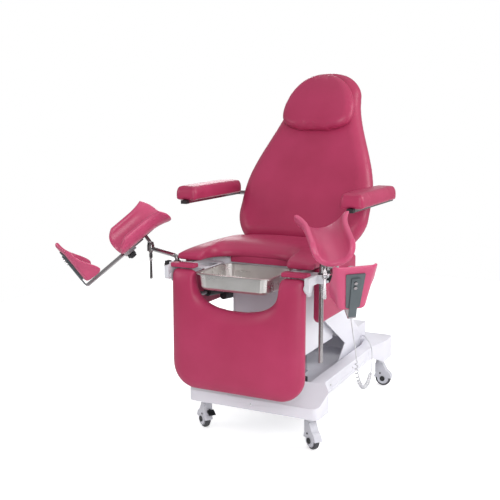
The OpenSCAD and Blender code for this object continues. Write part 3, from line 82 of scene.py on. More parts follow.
def finish(name, colour, other, rough, metallic=0.0, ior=1.5, patch=80, swing=0.06, grain=0.9,
           depth=0.02, stretch=(1, 1, 1), cells=False, coat=0.0, coat_rough=0.1, specular=0.5,
           anisotropic=0.0):
    """A surface with slow colour drift over patches, uneven gloss and a fine grain.
    patch, grain and depth are real sizes in millimetres."""
    material = bpy.data.materials.new(name)
    material.use_nodes = True
    tree = material.node_tree
    tree.nodes.clear()
    place = add(tree, "ShaderNodeTexCoord").outputs["Object"]
    turned = add(tree, "ShaderNodeMapping", values={"Scale": stretch},
                 links={"Vector": place}).outputs["Vector"]
    drift = add(tree, "ShaderNodeTexNoise", values={"Scale": 1000 / patch, "Detail": 3.0},
                links={"Vector": place}).outputs["Fac"]
    share = add(tree, "ShaderNodeMapRange", values={"From Min": 0.32, "From Max": 0.68},
                links={"Value": drift}).outputs["Result"]
    tint = add(tree, "ShaderNodeMix", {"data_type": "RGBA"}, links={"Factor": share})
    tint.inputs[6].default_value = tone(colour)
    tint.inputs[7].default_value = tone(other)
    smear = add(tree, "ShaderNodeTexNoise", values={"Scale": 2600 / patch, "Detail": 4.0},
                links={"Vector": turned}).outputs["Fac"]
    gloss = add(tree, "ShaderNodeMapRange",
                values={"From Min": 0.3, "From Max": 0.7, "To Min": rough - swing,
                        "To Max": rough + swing}, links={"Value": smear}).outputs["Result"]
    if cells:
        fine = add(tree, "ShaderNodeTexVoronoi", {"feature": "SMOOTH_F1"},
                   {"Scale": 1000 / grain, "Smoothness": 0.6},
                   {"Vector": turned}).outputs["Distance"]
    else:
        fine = add(tree, "ShaderNodeTexNoise", values={"Scale": 1000 / grain, "Detail": 2.0},
                   links={"Vector": turned}).outputs["Fac"]
    relief = add(tree, "ShaderNodeBump", values={"Strength": 1.0, "Distance": depth * MM},
                 links={"Height": fine}).outputs["Normal"]
    shader = add(tree, "ShaderNodeBsdfPrincipled",
                 values={"Metallic": metallic, "IOR": ior, "Coat Weight": coat,
                         "Coat Roughness": coat_rough, "Specular IOR Level": specular,
                         "Anisotropic": anisotropic},
                 links={"Base Color": tint.outputs[2], "Roughness": gloss, "Normal": relief})
    shader.inputs["Base Color"].default_value = tone(colour)
    shader.inputs["Roughness"].default_value = rough
    add(tree, "ShaderNodeOutputMaterial", links={"Surface": shader.outputs["BSDF"]})
    return material


# Polyurethane-coated upholstery fabric, calendered: a soft broad gloss over a faint pebble.
# The real pebble is 0.7 mm and is drawn at 2.4 mm so that it shows.
rose_leather = finish("rose_polyurethane_leather", "AC345B", "A22E52", 0.42, ior=1.47, patch=190,
                      swing=0.05, grain=2.4, depth=0.05, cells=True, coat=0.05, coat_rough=0.3,
                      specular=0.35)
# Integral-skin polyurethane foam, moulded: smoother and glossier than the sewn covers
rose_skin_foam = finish("rose_moulded_skin_foam", "C44D73", "BB456C", 0.38, ior=1.49, patch=150,
                        swing=0.03, grain=3.2, depth=0.004, coat=0.12, coat_rough=0.15,
                        specular=0.4)
# White ABS, injection moulded with a satin tool finish
white_abs = finish("white_moulded_abs", "E3E2EA", "DCDBE3", 0.4, ior=1.54, patch=260,
                   swing=0.05, grain=1.1, depth=0.012, coat=0.1, coat_rough=0.25)
# Steel tube with a white powder coat, which leaves an even orange peel
white_powder = finish("white_powder_coat", "D4D4DA", "CBCBD1", 0.38, ior=1.5, patch=150,
                      swing=0.05, grain=2.0, depth=0.03)
# Steel tube with a dark grey powder coat
grey_powder = finish("dark_powder_coat", "3C3D42", "333439", 0.5, ior=1.5, patch=120,
                     swing=0.06, grain=1.6, depth=0.03)
# Extruded aluminium, anodised: fine draw lines along the column
drawn_aluminium = finish("anodised_aluminium", "C2C4C8", "B7B9BE", 0.34, metallic=1.0, patch=200,
                         swing=0.05, grain=1.2, depth=0.01, stretch=(1, 1, 0.03))
# Glass-filled nylon, moulded with a fine spark-eroded grain
black_nylon = finish("black_moulded_nylon", "17181B", "1E1F23", 0.48, ior=1.53, patch=60,
                     swing=0.07, grain=0.8, depth=0.03)
# Nylon caster body, moulded glossy white
caster_nylon = finish("white_moulded_nylon", "CFCFD7", "C5C5CD", 0.3, ior=1.53, patch=70,
                      swing=0.05, grain=1.0, depth=0.012)
# Thermoplastic rubber tread, matt and dusty from the floor
tread_rubber = finish("grey_tread_rubber", "3B3B40", "4A494D", 0.68, ior=1.52, patch=25,
                      swing=0.1, grain=0.9, depth=0.04)
# Stainless steel sheet, deep drawn and satin polished
satin_steel = finish("satin_stainless_steel", "D6D4D2", "C8C6C3", 0.3, metallic=1.0, patch=90,
                     swing=0.06, grain=1.5, depth=0.006, stretch=(0.12, 1, 1), anisotropic=0.3)
# Stainless steel bar, mirror polished
bright_steel = finish("polished_stainless_steel", "A8A4A6", "979395", 0.2, metallic=1.0,
                      patch=60, swing=0.05, grain=1.8, depth=0.003)
# Slate-grey polypropylene sheet behind the foot shells
slate_sheet = finish("slate_polypropylene_sheet", "555D61", "4D5559", 0.46, ior=1.49, patch=60,
                     swing=0.06, grain=0.9, depth=0.02)
# Pale grey ABS of the handset, moulded with a fine matt grain
handset_abs = finish("pale_grey_abs", "C9CBCF", "C1C3C8", 0.5, ior=1.54, patch=50,
                     swing=0.05, grain=0.7, depth=0.02)
# Silicone rubber of the keys, soft matt blue-grey
key_silicone = finish("blue_grey_silicone", "4E6478", "465B6E", 0.58, ior=1.43, patch=20,
                      swing=0.05, grain=0.6, depth=0.01)
# Soft PVC sheath of the cord, light grey and faintly glossy
cord_pvc = finish("light_grey_pvc", "D2D3D6", "C8C9CD", 0.42, ior=1.53, patch=40,
                  swing=0.06, grain=1.2, depth=0.01)
# Floor of the studio, pale matt paint
studio_floor = finish("pale_matt_floor", "F4F4F5", "F1F1F2", 0.7, patch=900, swing=0.03,
                      grain=6, depth=0.01)

# The finish of each CAD node
cad_finish = {
    "base_frame": grey_powder, "base_cover": white_abs, "tower_cover": white_abs,
    "outer_column": drawn_aluminium, "inner_column": drawn_aluminium, "column_cover": white_abs,
    "control_box": black_nylon, "seat_frame": white_powder, "back_frame": white_powder,
    "leg_frame": white_powder, "instrument_tray": satin_steel, "back_actuator": black_nylon,
    "leg_actuator": black_nylon, "back_actuator_rod": bright_steel,
    "leg_actuator_rod": bright_steel, "handset": handset_abs, "key_lift": key_silicone,
    "key_back": key_silicone, "key_leg": key_silicone, "cord": cord_pvc, "cord_curl": cord_pvc,
    "brake_pedal_fl": black_nylon, "brake_pedal_rl": black_nylon}
for end in ("fl", "fr", "rl", "rr"):
    cad_finish["caster_fork_" + end] = caster_nylon
    cad_finish["wheel_" + end] = tread_rubber
for side in ("left", "right"):
    for part in ("clamp_bush_", "clamp_knob_", "bracket_knob_"):
        cad_finish[part + side] = black_nylon
    for part in ("armrest_bar_", "support_rod_", "joint_head_", "joint_lever_", "shell_bracket_",
                 "foot_bar_"):
        cad_finish[part + side] = bright_steel
for name, material in cad_finish.items():
    nodes[name].data.materials.clear()
    nodes[name].data.materials.append(material)


def paint_faces(mesh, material, test):
    """Gives a second finish to the faces whose centre, in millimetres, passes the test."""
    mesh.materials.append(material)
    slot_number = len(mesh.materials) - 1
    for face in mesh.polygons:
        if test(Vector(face.center) / MM):
            face.material_index = slot_number


# The armrest bars' plastic end caps lie in front of this y, in millimetres
bar_cap_y = -371.6
for side in ("left", "right"):
    paint_faces(nodes["armrest_bar_" + side].data, black_nylon, lambda p: p.y < bar_cap_y)

# Casters, in millimetres: name, stem's place and turn in degrees
caster_turns = (("fl", -237, -445, 144.5), ("fr", 237, -445, -35.5),
                ("rl", -237, 445, 178), ("rr", 237, 445, 2))
# From the stem to the axle, the axle's height, half the width over the fork, the core's radius
caster_trail, axle_z, caster_half, core_r = 20, 37.5, 18.6, 31.0
# Screws through the fork's sides: distance from the stem and height
fork_screw_x, fork_screw_z = 8, 64
for end, x, y, turned in caster_turns:
    hub = (x + caster_trail * math.cos(math.radians(turned)),
           y + caster_trail * math.sin(math.radians(turned)), axle_z)
    paint_faces(nodes["wheel_" + end].data, caster_nylon,
                lambda p: math.dist((p.x, p.y, p.z), hub) < core_r)


# Helpers for modelling as by hand
def only(piece):
    bpy.ops.object.select_all(action="DESELECT")
    piece.select_set(True)
    bpy.context.view_layer.objects.active = piece


def edit(piece, *steps):
    only(piece)
    bpy.ops.object.mode_set(mode="EDIT")
    bpy.ops.mesh.select_all(action="SELECT")
    for step, settings in steps:
        step(**settings)
    bpy.ops.object.mode_set(mode="OBJECT")


def apply(piece, kind, **settings):
    only(piece)
    modifier = piece.modifiers.new(kind.lower(), kind)
    for key, value in settings.items():
        setattr(modifier, key, value)
    bpy.ops.object.modifier_apply(modifier=modifier.name)


def settle(piece):
    """Puts the piece's place into its mesh."""
    only(piece)
    bpy.ops.object.transform_apply(location=True, rotation=True, scale=True)


def smooth_shading(piece, angle):
    only(piece)
    bpy.ops.object.shade_smooth_by_angle(angle=math.radians(angle))


def dress(piece, material, body):
    piece.data.materials.clear()
    piece.data.materials.append(material)
    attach(piece, body)


def soften(name, width, segments):
    """A copy of a CAD node with its sharp edges rounded by width, in millimetres."""
    source = nodes[name]
    piece = bpy.data.objects.new(name + "_rounded", source.data.copy())
    bpy.context.collection.objects.link(piece)
    edit(piece,
         (bpy.ops.mesh.remove_doubles, {"threshold": 0.02 * MM}),
         (bpy.ops.mesh.dissolve_limited, {"angle_limit": math.radians(1.0)}))
    apply(piece, "BEVEL", width=width * MM, segments=segments, limit_method="ANGLE",
          angle_limit=math.radians(32), use_clamp_overlap=True, miter_outer="MITER_ARC")
    smooth_shading(piece, 35)
    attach(piece, body_of_node[name])
    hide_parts(name)


# Handset cord: points of its route in millimetres, the same as those of its solids
upper_cord = [
    (318, -218, 568), (318, -218, 530), (322, -222, 490), (330, -228, 450),
    (336, -226, 410), (340, -215, 365), (342, -203, 318)]
curl_route = [
    (342, -203, 318), (343, -202, 270), (345, -185, 225), (344, -152, 190), (340, -110, 166),
    (333, -64, 152), (326, -16, 147), (318, 32, 150), (309, 76, 158), (301, 120, 166)]
lower_cord = [
    (301, 120, 166), (294, 148, 176), (287, 170, 196), (280, 192, 218), (270, 216, 238),
    (256, 240, 253), (236, 268, 264), (214, 298, 268), (197, 326, 268), (178, 344, 267)]
cord_r = 2.5
curl_r = 9.0
curls = 21


def on_route(route, t):
    """Point of the smooth curve through the route, at t counted in route points."""
    count = len(route)
    i = min(int(math.floor(t)), count - 2)
    f = t - i
    p1, p2 = np.array(route[i], float), np.array(route[i + 1], float)
    p0 = np.array(route[i - 1], float) if i > 0 else 2 * p1 - p2
    p3 = np.array(route[i + 2], float) if i + 2 < count else 2 * p2 - p1
    return 0.5 * (2 * p1 + (p2 - p0) * f + (2 * p0 - 5 * p1 + 4 * p2 - p3) * f * f
                  + (3 * p1 - p0 - 3 * p2 + p3) * f ** 3)


def curl_point(t):
    """Point of the coiled stretch at the share t. The coil opens and closes over 1.5 curls."""
    last = len(curl_route) - 1
    near = 0.02
    ahead = on_route(curl_route, min(t * last + near, last))
    along = ahead - on_route(curl_route, max(t * last - near, 0))
    along /= np.linalg.norm(along)
    a = np.cross(along, (1, 0, 0.2))
    a /= np.linalg.norm(a)
    b = np.cross(along, a)
    out = (curl_r - cord_r) * min(1, min(t, 1 - t) * curls / 1.5)
    angle = 2 * math.pi * curls * t
    return on_route(curl_route, t * last) + out * (math.cos(angle) * a + math.sin(angle) * b)


curl_steps = curls * 20
cord_points = np.array(
    [on_route(upper_cord, t) for t in np.linspace(0, len(upper_cord) - 1, 40)][:-1]
    + [curl_point(k / curl_steps) for k in range(curl_steps + 1)]
    + [on_route(lower_cord, t) for t in np.linspace(0, len(lower_cord) - 1, 60)][1:])
cord_curve = bpy.data.curves.new("handset_cord", "CURVE")
cord_curve.dimensions = "3D"
cord_curve.bevel_depth = cord_r * MM
cord_curve.bevel_resolution = 4
cord_curve.use_fill_caps = True
spline = cord_curve.splines.new("POLY")
spline.points.add(len(cord_points) - 1)
for point, place in zip(spline.points, cord_points):
    point.co = (*(place * MM), 1.0)
spline.use_smooth = True
cord_piece = bpy.data.objects.new("handset_cord", cord_curve)
bpy.context.collection.objects.link(cord_piece)
cord_curve.materials.append(cord_pvc)
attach(cord_piece, body_of_node["cord"])
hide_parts("cord", "cord_curl")


# Shapes of the cushions, in millimetres
def lip(e, r):
    """Rise of a rounded edge of radius r at a distance e from the outline."""
    return np.sqrt(np.clip(1 - (1 - np.minimum(e, r) / r) ** 2, 0, 1))


def round_off(d, r):
    """How far a corner of radius r falls back at a distance d from the side."""
    return np.where(d >= r, 0.0, r - np.sqrt(np.clip(r * r - (r - np.minimum(d, r)) ** 2, 0, None)))


def eased(count, gather=0.75):
    """Shares from 0 to 1, close together near both ends."""
    t = np.linspace(0, 1, count)
    return (1 - gather) * t + gather * (1 - np.cos(math.pi * t)) / 2


def closed_form(name, top, bottom):
    """Closed mesh between two grids of points, given in millimetres."""
    n, m = top.shape[:2]
    points = np.concatenate([top.reshape(-1, 3), bottom.reshape(-1, 3)]) * MM
    b = n * m
    faces = []
    for i in range(n - 1):
        for j in range(m - 1):
            q = (i * m + j, i * m + j + 1, (i + 1) * m + j + 1, (i + 1) * m + j)
            faces.append(q)
            faces.append(tuple(b + v for v in reversed(q)))
    ring = ([(0, j) for j in range(m - 1)] + [(i, m - 1) for i in range(n - 1)]
            + [(n - 1, j) for j in range(m - 1, 0, -1)] + [(i, 0) for i in range(n - 1, 0, -1)])
    ids = [i * m + j for i, j in ring]
    for k, v in enumerate(ids):
        w = ids[(k + 1) % len(ids)]
        faces.append((w, v, b + v, b + w))
    mesh = bpy.data.meshes.new(name)
    mesh.from_pydata([tuple(p) for p in points], [], faces)
    mesh.validate()
    piece = bpy.data.objects.new(name, mesh)
    bpy.context.collection.objects.link(piece)
    edit(piece, (bpy.ops.mesh.remove_doubles, {"threshold": 0.01 * MM}),
         (bpy.ops.mesh.normals_make_consistent, {"inside": False}))
    return piece


# Radius of the lower edges, where the cover is pulled under the board
pad_tuck = 8.0


def pad_form(name, xs, lo, hi, half, thick, edge_r, rise, place, rows=64, end_r=None):
    """Pad between the lines lo and hi: side edges rounded by edge_r, ends by end_r, and the
    middle raised by rise."""
    s = eased(rows)[None, :]
    x = np.repeat(xs[:, None], rows, 1)
    y = lo[:, None] + (hi - lo)[:, None] * s
    ex = half - np.abs(x)
    ey = (hi - lo)[:, None] * np.minimum(s, 1 - s)
    rim = pad_tuck + thick * 0.3
    high = (rim + (thick - rim) * lip(ex, edge_r) * lip(ey, end_r or edge_r)
            + rise * (1 - (x / half) ** 2) * 4 * s * (1 - s))
    low = pad_tuck * (1 - lip(ex, pad_tuck) * lip(ey, pad_tuck))
    return closed_form(name, put(place, np.stack([x, y, high], -1)),
                       put(place, np.stack([x, y, low], -1)))


def put(matrix, points):
    m = np.array(matrix)
    return points @ m[:3, :3].T + m[:3, 3]


def move(x, y, z):
    return Matrix.Translation((x, y, z))


def turn(degrees, axis):
    return Matrix.Rotation(math.radians(degrees), 4, axis)


# Sizes shared with the solids: width of the cushions, the back, the seat, the leg pad, the
# front cut-out's half width and the rounding of the horns beside it
pad_w, back_l, back_t, crown = 600.0, 850.0, 74.0, 14.0
seat_z, seat_front_y, seat_rear_y = 745.0, -585.0, -75.0
pivot = (0.0, -40.0, 685.0)
hinge_y, hinge_z = -632.0, 690.0
leg_l, leg_t = 485.0, 60.0
cut_half, horn_r = 185.0, 22.0
on_back = move(*pivot) @ turn(-28.6, "X") @ turn(90, "X")
on_leg = move(0, hinge_y + leg_t / 2, hinge_z + leg_t / 2 - leg_l) @ turn(90, "X")


def horn_columns(half):
    """Places across a pad, close together at the sides and at the edges of the cut-out."""
    inner = cut_half * (1 - (1 - np.linspace(0, 1, 26)) ** 2.2)
    outer = cut_half + (half - cut_half) * eased(18)[1:]
    side = np.concatenate([inner, outer])
    return np.concatenate([-side[:0:-1], side])


def horn_edge(x, half, depth, power):
    """How far the edge falls back: a bay of the given depth between two rounded horns."""
    a = np.abs(x)
    share = np.clip(1 - (np.minimum(a, cut_half) / cut_half) ** power, 0, None) ** (1 / power)
    return np.where(a <= cut_half, horn_r + (depth - horn_r) * share,
                    round_off(np.minimum(a - cut_half, half - a), horn_r))


def seat_form():
    xs = horn_columns(pad_w / 2)
    return pad_form("seat_cushion_cover", xs, seat_front_y + horn_edge(xs, pad_w / 2, 160.0, 3),
                    seat_rear_y - round_off(pad_w / 2 - np.abs(xs), 45.0), pad_w / 2, thick=44.0,
                    edge_r=84.0, end_r=100.0, rise=20.0, place=move(0, 0, seat_z))


def leg_form():
    half = pad_w / 2 - 12
    xs = horn_columns(half)
    return pad_form("leg_pad_cover", xs, round_off(half - np.abs(xs), 106.0),
                    leg_l - horn_edge(xs, half, 146.0, 2.5), half, thick=leg_t - 10,
                    edge_r=58.0, rise=10.0, place=on_leg)


def arm_form(side, sign):
    half = 50.0
    xs = half * (2 * eased(34) - 1)
    start = round_off(half - np.abs(xs), 22.0)
    return pad_form("armrest_cover_" + side, xs, start - 5.0, 442.0 - start, half, thick=56.0,
                    edge_r=18.0, rise=2.0, place=move(sign * 369.0, -383.0, 962.3), rows=90)


def smooth_step(t):
    t = np.clip(t, 0, 1)
    return t * t * (3 - 2 * t)


# The back's half width at its top, its lower edge from the pivot and its board's thickness
back_top_half, back_start, back_board = 165.0, 55.0, 20.0


def back_half(u):
    """Half width of the back at u from its lower edge: narrow above, rounded at both ends."""
    t = (u - 0.265 * back_l) / (0.635 * back_l)
    top = np.clip((u - 0.86 * back_l) / (0.14 * back_l), 0, None)
    low = np.clip(1 - u / (0.16 * back_l), 0, None)
    body = back_top_half + (pad_w / 2 * 1.03 - back_top_half) * (1 - smooth_step(t))
    return body * np.sqrt(np.clip(1 - top ** 2 * 0.97, 0.05, None)) * (1 - 0.21 * low ** 2)


def back_form():
    c = (2 * eased(54, 0.85) - 1)[:, None]
    u = (back_l * eased(88, 0.8))[None, :]
    h = back_half(u)
    ex, ey = h * (1 - np.abs(c)), np.minimum(u, back_l - u)
    s = u / back_l
    x, y = c * h, u + 0 * c
    rim = 30.0
    high = (rim + (back_t - rim) * lip(ex, 58.0) * lip(ey, 52.0)
            + crown * (1 - c * c) * 4 * s * (1 - s))
    low = pad_tuck * (1 - lip(ex, pad_tuck) * lip(ey, pad_tuck))
    place = on_back @ move(0, back_start, back_board)
    return closed_form("back_cushion_cover", put(place, np.stack([x, y, high], -1)),
                       put(place, np.stack([x, y, low], -1)))


# Pillow: half its width, its height, its lower edge from the pivot, where it is widest
pillow_w, pillow_h, pillow_start, widest = 171.0, 290.0, 572.0, 0.34


def pillow_half(s):
    low = pillow_w * np.clip(1 - np.abs(1 - s / widest) ** 2.6, 0.12, None) ** (1 / 2.6)
    high = pillow_w * np.sqrt(np.clip(1 - ((s - widest) / (1 - widest)) ** 2, 0.045, None))
    return np.where(s < widest, low, high)


def pillow_form():
    c = (2 * eased(44, 0.85) - 1)[:, None]
    s = eased(48, 0.85)[None, :]
    h = pillow_half(s)
    ex, ey = h * (1 - np.abs(c)), pillow_h * np.minimum(s, 1 - s)
    u = pillow_start - back_start + s * pillow_h
    k = c * h / back_half(u)
    t = u / back_l
    gap = 0.6
    rest = back_board + back_t + np.clip(crown * (1 - k * k) * 4 * t * (1 - t), 0, None) + gap
    x, y = c * h, s * pillow_h + 0 * c
    rim, thick, edge_r = 16.0, 42.0, 40.0
    high = (rest + rim + (thick - rim) * lip(ex, edge_r) * lip(ey, edge_r)
            + crown / 2 * (1 - c * c) * 4 * s * (1 - s))
    low = rest + pad_tuck / 2 * (1 - lip(ex, pad_tuck) * lip(ey, pad_tuck))
    place = on_back @ move(0, pillow_start, 0)
    return closed_form("head_pillow_cover", put(place, np.stack([x, y, high], -1)),
                       put(place, np.stack([x, y, low], -1)))


def skirt_form(side, sign):
    half = 203.0
    xs = half * (2 * eased(44) - 1)
    place = move(270.0, -308.0, 0) @ turn(90, "Z") @ turn(90, "X")
    if sign < 0:
        place = Matrix.Scale(-1, 4, (1, 0, 0)) @ place
    return pad_form("side_panel_" + side, xs, 525.0 + round_off(half - np.abs(xs), 40.0),
                    741.0 - round_off(half - np.abs(xs), 5.0), half, thick=28.0, edge_r=12.0,
                    rise=1.0, place=place, rows=40)


# Leg supports: sign of x, the rod's swing, the joint's height, yaw, pitch and roll of the shell
supports = {"left": (-1, 100.0, 792.0, 32.6, 37.3, 7.2),
            "right": (1, 26.0, 819.0, 34.2, 27.1, 3.6)}
# The rod's clamp, and the level arm from there to the joint
clamp_x, clamp_y, rod_arm = 315, -540, 146


def shell_place(side):
    sign, swing, joint_z, yaw, pitch, roll = supports[side]
    place = (move(clamp_x, clamp_y, 0) @ turn(swing, "Z") @ move(0, -rod_arm, joint_z)
             @ turn(yaw - swing, "Z") @ turn(-roll, "Y") @ turn(pitch, "X"))
    return Matrix.Scale(-1, 4, (1, 0, 0)) @ place if sign < 0 else place


# Calf shell: height of its bracket's plate, radius, length, wall and half angle, and how far it
# reaches from the joint towards the knee
bracket_z, shell_r, shell_l, shell_t, shell_angle = 53.0, 80.0, 235.0, 22.0, 92.0
shell_fore = 107.0
shell_z = bracket_z + shell_r * math.cos(math.radians(0.15 * shell_angle))
# Distance of each foot rest's plate from the joint
plate_away = {"left": shell_l - shell_fore + 190.0, "right": shell_l - shell_fore + 256.0}


def calf_form(side):
    """Trough of a thick soft wall, flared towards the knee, with its corners cut back."""
    a = (2 * eased(60, 0.6) - 1)[:, None]
    k = eased(50, 0.8)[::-1][None, :]
    knee_corner, foot_corner, knee_lead, flare, flare_share = 34.0, 46.0, 12.0, 24.0, 0.55
    start = knee_corner * np.abs(a) ** 4 - knee_lead
    end = shell_l - foot_corner * np.abs(a) ** 5
    swell = flare * np.clip(1 - k / flare_share, 0, None) ** 2.6
    rim = shell_r * math.radians(shell_angle) * (1 - np.abs(a)) + 0.01
    end_on = shell_l * np.minimum(k, 1 - k) + 0.01
    e = (rim ** -3.0 + end_on ** -3.0) ** (-1 / 3)
    soft = shell_t / 2 * (0.3 + 0.7 * lip(e, shell_t * 0.7))
    angle = a * math.radians(shell_angle)

    def wall(sign):
        r = shell_r - shell_t / 2 + swell + sign * soft
        along = shell_fore - start - k * (end - start)
        return np.stack([r * np.sin(angle), along, shell_z - r * np.cos(angle)], -1)

    place = shell_place(side)
    return closed_form("calf_rest_" + side, put(place, wall(-1)), put(place, wall(1)))


def foot_form(side):
    """Plate whose sides turn up round the heel and open towards the toes."""
    across = np.linspace(-1, 1, 71)[:, None]
    k = np.linspace(0, 1, 34)[None, :]
    high, bend, wall_half = 170.0, 15.0, 4.4
    heel_half, toe_more = 42, 24
    heel_flange, flange_less = 60, 47
    heel_turn, turn_less = 80, 34
    open_up = smooth_step(k / 0.9)
    half = heel_half + toe_more * k
    flange = heel_flange - flange_less * open_up
    flange = flange - round_off(high * k, 24.0) - round_off(high * (1 - k), 10.0)
    most = np.radians(heel_turn - turn_less * open_up)
    flat = half - bend
    run = np.abs(across) * (flat + bend * most + flange)
    angle = np.clip((run - flat) / bend, 0, most)
    beyond = np.clip(run - flat - bend * most, 0, None)
    out = np.minimum(run, flat) + bend * np.sin(angle) + beyond * np.cos(most)
    lift = bend * (1 - np.cos(angle)) + beyond * np.sin(most)
    edge = np.minimum(flat + bend * most + flange - run, high * np.minimum(k, 1 - k))
    soft = wall_half * (0.25 + 0.75 * lip(edge, 5.0))
    heel_z, plate_gap = 73.4, 14.2
    rows = heel_z + k * high + 0 * across

    def wall(sign):
        x = np.sign(across) * (out - sign * soft * np.sin(angle))
        y = plate_gap - plate_away[side] + lift + sign * soft * np.cos(angle)
        return np.stack([x, y, rows], -1)

    place = shell_place(side)
    return closed_form("foot_rest_" + side, put(place, wall(1)), put(place, wall(-1)))


def plump(piece, swell, voxel):
    """The cover is blown up from a smaller shape, as foam fills it, with Blender's cloth.
    swell is how far a point may move and voxel the mesh's pitch, both in millimetres."""
    first_share, last_frame = 0.3, 20
    apply(piece, "REMESH", mode="VOXEL", voxel_size=voxel * MM)
    for point, normal in zip(piece.data.vertices, [v.normal.copy() for v in piece.data.vertices]):
        point.co -= normal * (first_share * swell * MM)
    start = [point.co.copy() for point in piece.data.vertices]
    only(piece)
    cloth = piece.modifiers.new("cover", "CLOTH")
    cloth.settings.use_pressure = True
    cloth.settings.uniform_pressure_force = 4.0
    cloth.settings.effector_weights.gravity = 0.0
    for moment in range(1, last_frame + 1):
        bpy.context.scene.frame_set(moment)
    bpy.ops.object.modifier_apply(modifier=cloth.name)
    bpy.context.scene.frame_set(1)
    for point, first in zip(piece.data.vertices, start):
        moved = point.co - first
        if moved.length > swell * MM:
            point.co = first + moved * (swell * MM / moved.length)


def upholster(piece, body, replaced, material=rose_leather, swell=0, voxel=8):
    if swell:
        plump(piece, swell, voxel)
    apply(piece, "SUBSURF", levels=1, render_levels=1)
    smooth_shading(piece, 180)
    dress(piece, material, body)
    if replaced:
        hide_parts(replaced)


# The foot bars end in a plate with a grey sheet over it; the bolts behind it stay bright
for side in supports:
    to_shell = shell_place(side).inverted()
    bolts_y = -plate_away[side] - 0.2
    paint_faces(nodes["foot_bar_" + side].data, slate_sheet,
                lambda p: (to_shell @ p).z > bracket_z and (to_shell @ p).y > bolts_y)

upholster(seat_form(), "carriage", "seat_cushion", swell=4)
upholster(leg_form(), "leg", "leg_pad", swell=3)
upholster(back_form(), "back", "back_cushion", swell=4)
upholster(pillow_form(), "back", "head_pillow", swell=3.5, voxel=5)
for side, sign in (("left", -1), ("right", 1)):
    upholster(arm_form(side, sign), "arm_" + side, "armrest_pad_" + side, swell=2.5, voxel=5)
    upholster(skirt_form(side, sign), "carriage", "side_skirts" if sign > 0 else None)
    upholster(calf_form(side), "shell_" + side, "calf_shell_" + side, rose_skin_foam)
    upholster(foot_form(side), "foot_" + side, "foot_shell_" + side, rose_skin_foam)

# Upholstered strips between the seat's horns and the leg pad, and the apron over the tray
for name, place, size, round_edge in (
        ("seat_front_strip_left", (-0.240, -0.609, 0.7325), (0.106, 0.040, 0.017), 0.006),
        ("seat_front_strip_right", (0.240, -0.609, 0.7325), (0.106, 0.040, 0.017), 0.006),
        ("seat_apron", (0, -0.413, 0.7365), (0.268, 0.011, 0.027), 0.004)):
    bpy.ops.object.select_all(action="DESELECT")
    bpy.ops.mesh.primitive_cube_add(size=1, location=place, scale=size)
    strip = bpy.context.active_object
    strip.name = name
    settle(strip)
    edit(strip, (bpy.ops.mesh.subdivide, {"number_cuts": 3}))
    apply(strip, "BEVEL", width=round_edge, segments=4, limit_method="ANGLE",
          angle_limit=math.radians(30))
    apply(strip, "SMOOTH", factor=0.5, iterations=2)
    smooth_shading(strip, 180)
    dress(strip, rose_leather, "carriage")


# Small fastenings, modelled once each and copied to their places
def pick(piece, test):
    """In edit mode, selects the faces whose centre, in millimetres, and normal pass the test."""
    only(piece)
    bpy.ops.object.mode_set(mode="EDIT")
    bpy.ops.mesh.select_mode(type="FACE")
    bpy.ops.mesh.select_all(action="DESELECT")
    bpy.ops.object.mode_set(mode="OBJECT")
    for face in piece.data.polygons:
        face.select = test(Vector(face.center) / MM, face.normal)
    bpy.ops.object.mode_set(mode="EDIT")


def dished_disc(name, across, high, ring, sunk, corners=40):
    """Low disc with a rounded edge and a dished middle, face up at the origin.
    across, high, the ring's width and the depth sunk are in millimetres."""
    lifted = 0.35
    bpy.ops.object.select_all(action="DESELECT")
    bpy.ops.mesh.primitive_cylinder_add(vertices=corners, radius=across / 2 * MM, depth=high * MM,
                                        location=(0, 0, high / 2 * MM))
    disc = bpy.context.active_object
    disc.name = name
    settle(disc)
    pick(disc, lambda p, n: n.z > 0.9)
    bpy.ops.mesh.inset(thickness=ring * MM)
    bpy.ops.transform.translate(value=(0, 0, lifted * MM))
    bpy.ops.mesh.inset(thickness=0.25 * ring * MM)
    bpy.ops.transform.translate(value=(0, 0, -(sunk + lifted) * MM))
    bpy.ops.object.mode_set(mode="OBJECT")
    apply(disc, "BEVEL", width=0.18 * high * MM, segments=2, limit_method="ANGLE",
          angle_limit=math.radians(35))
    return disc


def copy_to(model, name, matrix, material, body):
    """A copy of the model with its own mesh, its place given in millimetres."""
    placed = bpy.data.objects.new(name, model.data.copy())
    bpy.context.collection.objects.link(placed)
    shift = matrix.copy()
    shift.translation = Vector(matrix.translation) * MM
    placed.data.transform(shift)
    smooth_shading(placed, 40)
    dress(placed, material, body)


axle_cap = dished_disc("axle_cap", 25, 3.2, 3.6, 0.9)
screw_head = dished_disc("screw_head", 8, 1.8, 1.3, 1.1, 24)

for end, x, y, turned in caster_turns:
    for way, label in ((-1, end + "_inner"), (1, end + "_outer")):
        for model, name, along, high in (
                (axle_cap, "axle_cap_", caster_trail, axle_z),
                (screw_head, "fork_screw_", fork_screw_x, fork_screw_z)):
            seat = (move(x, y, 0) @ turn(turned, "Z") @ move(along, way * caster_half, high)
                    @ turn(-90 * way, "X"))
            copy_to(model, name + label, seat, black_nylon, "caster_" + end)

# Screws in the base cover's rails: each sits where a level line from outside meets the cover
screw_z = 205
for number, (x, y) in enumerate(((400, 20), (400, -250), (-400, 20), (-400, -250))):
    inward = Vector((-math.copysign(1, x), 0, 0))
    met, place, normal, face = nodes["base_cover"].ray_cast(Vector((x, y, screw_z)) * MM, inward)
    if met:
        seat = move(*(place / MM)) @ normal.to_track_quat("Z", "Y").to_matrix().to_4x4()
        copy_to(screw_head, "cover_screw_%d" % number, seat, satin_steel, "base")
for model in (axle_cap, screw_head):
    bpy.data.objects.remove(model)

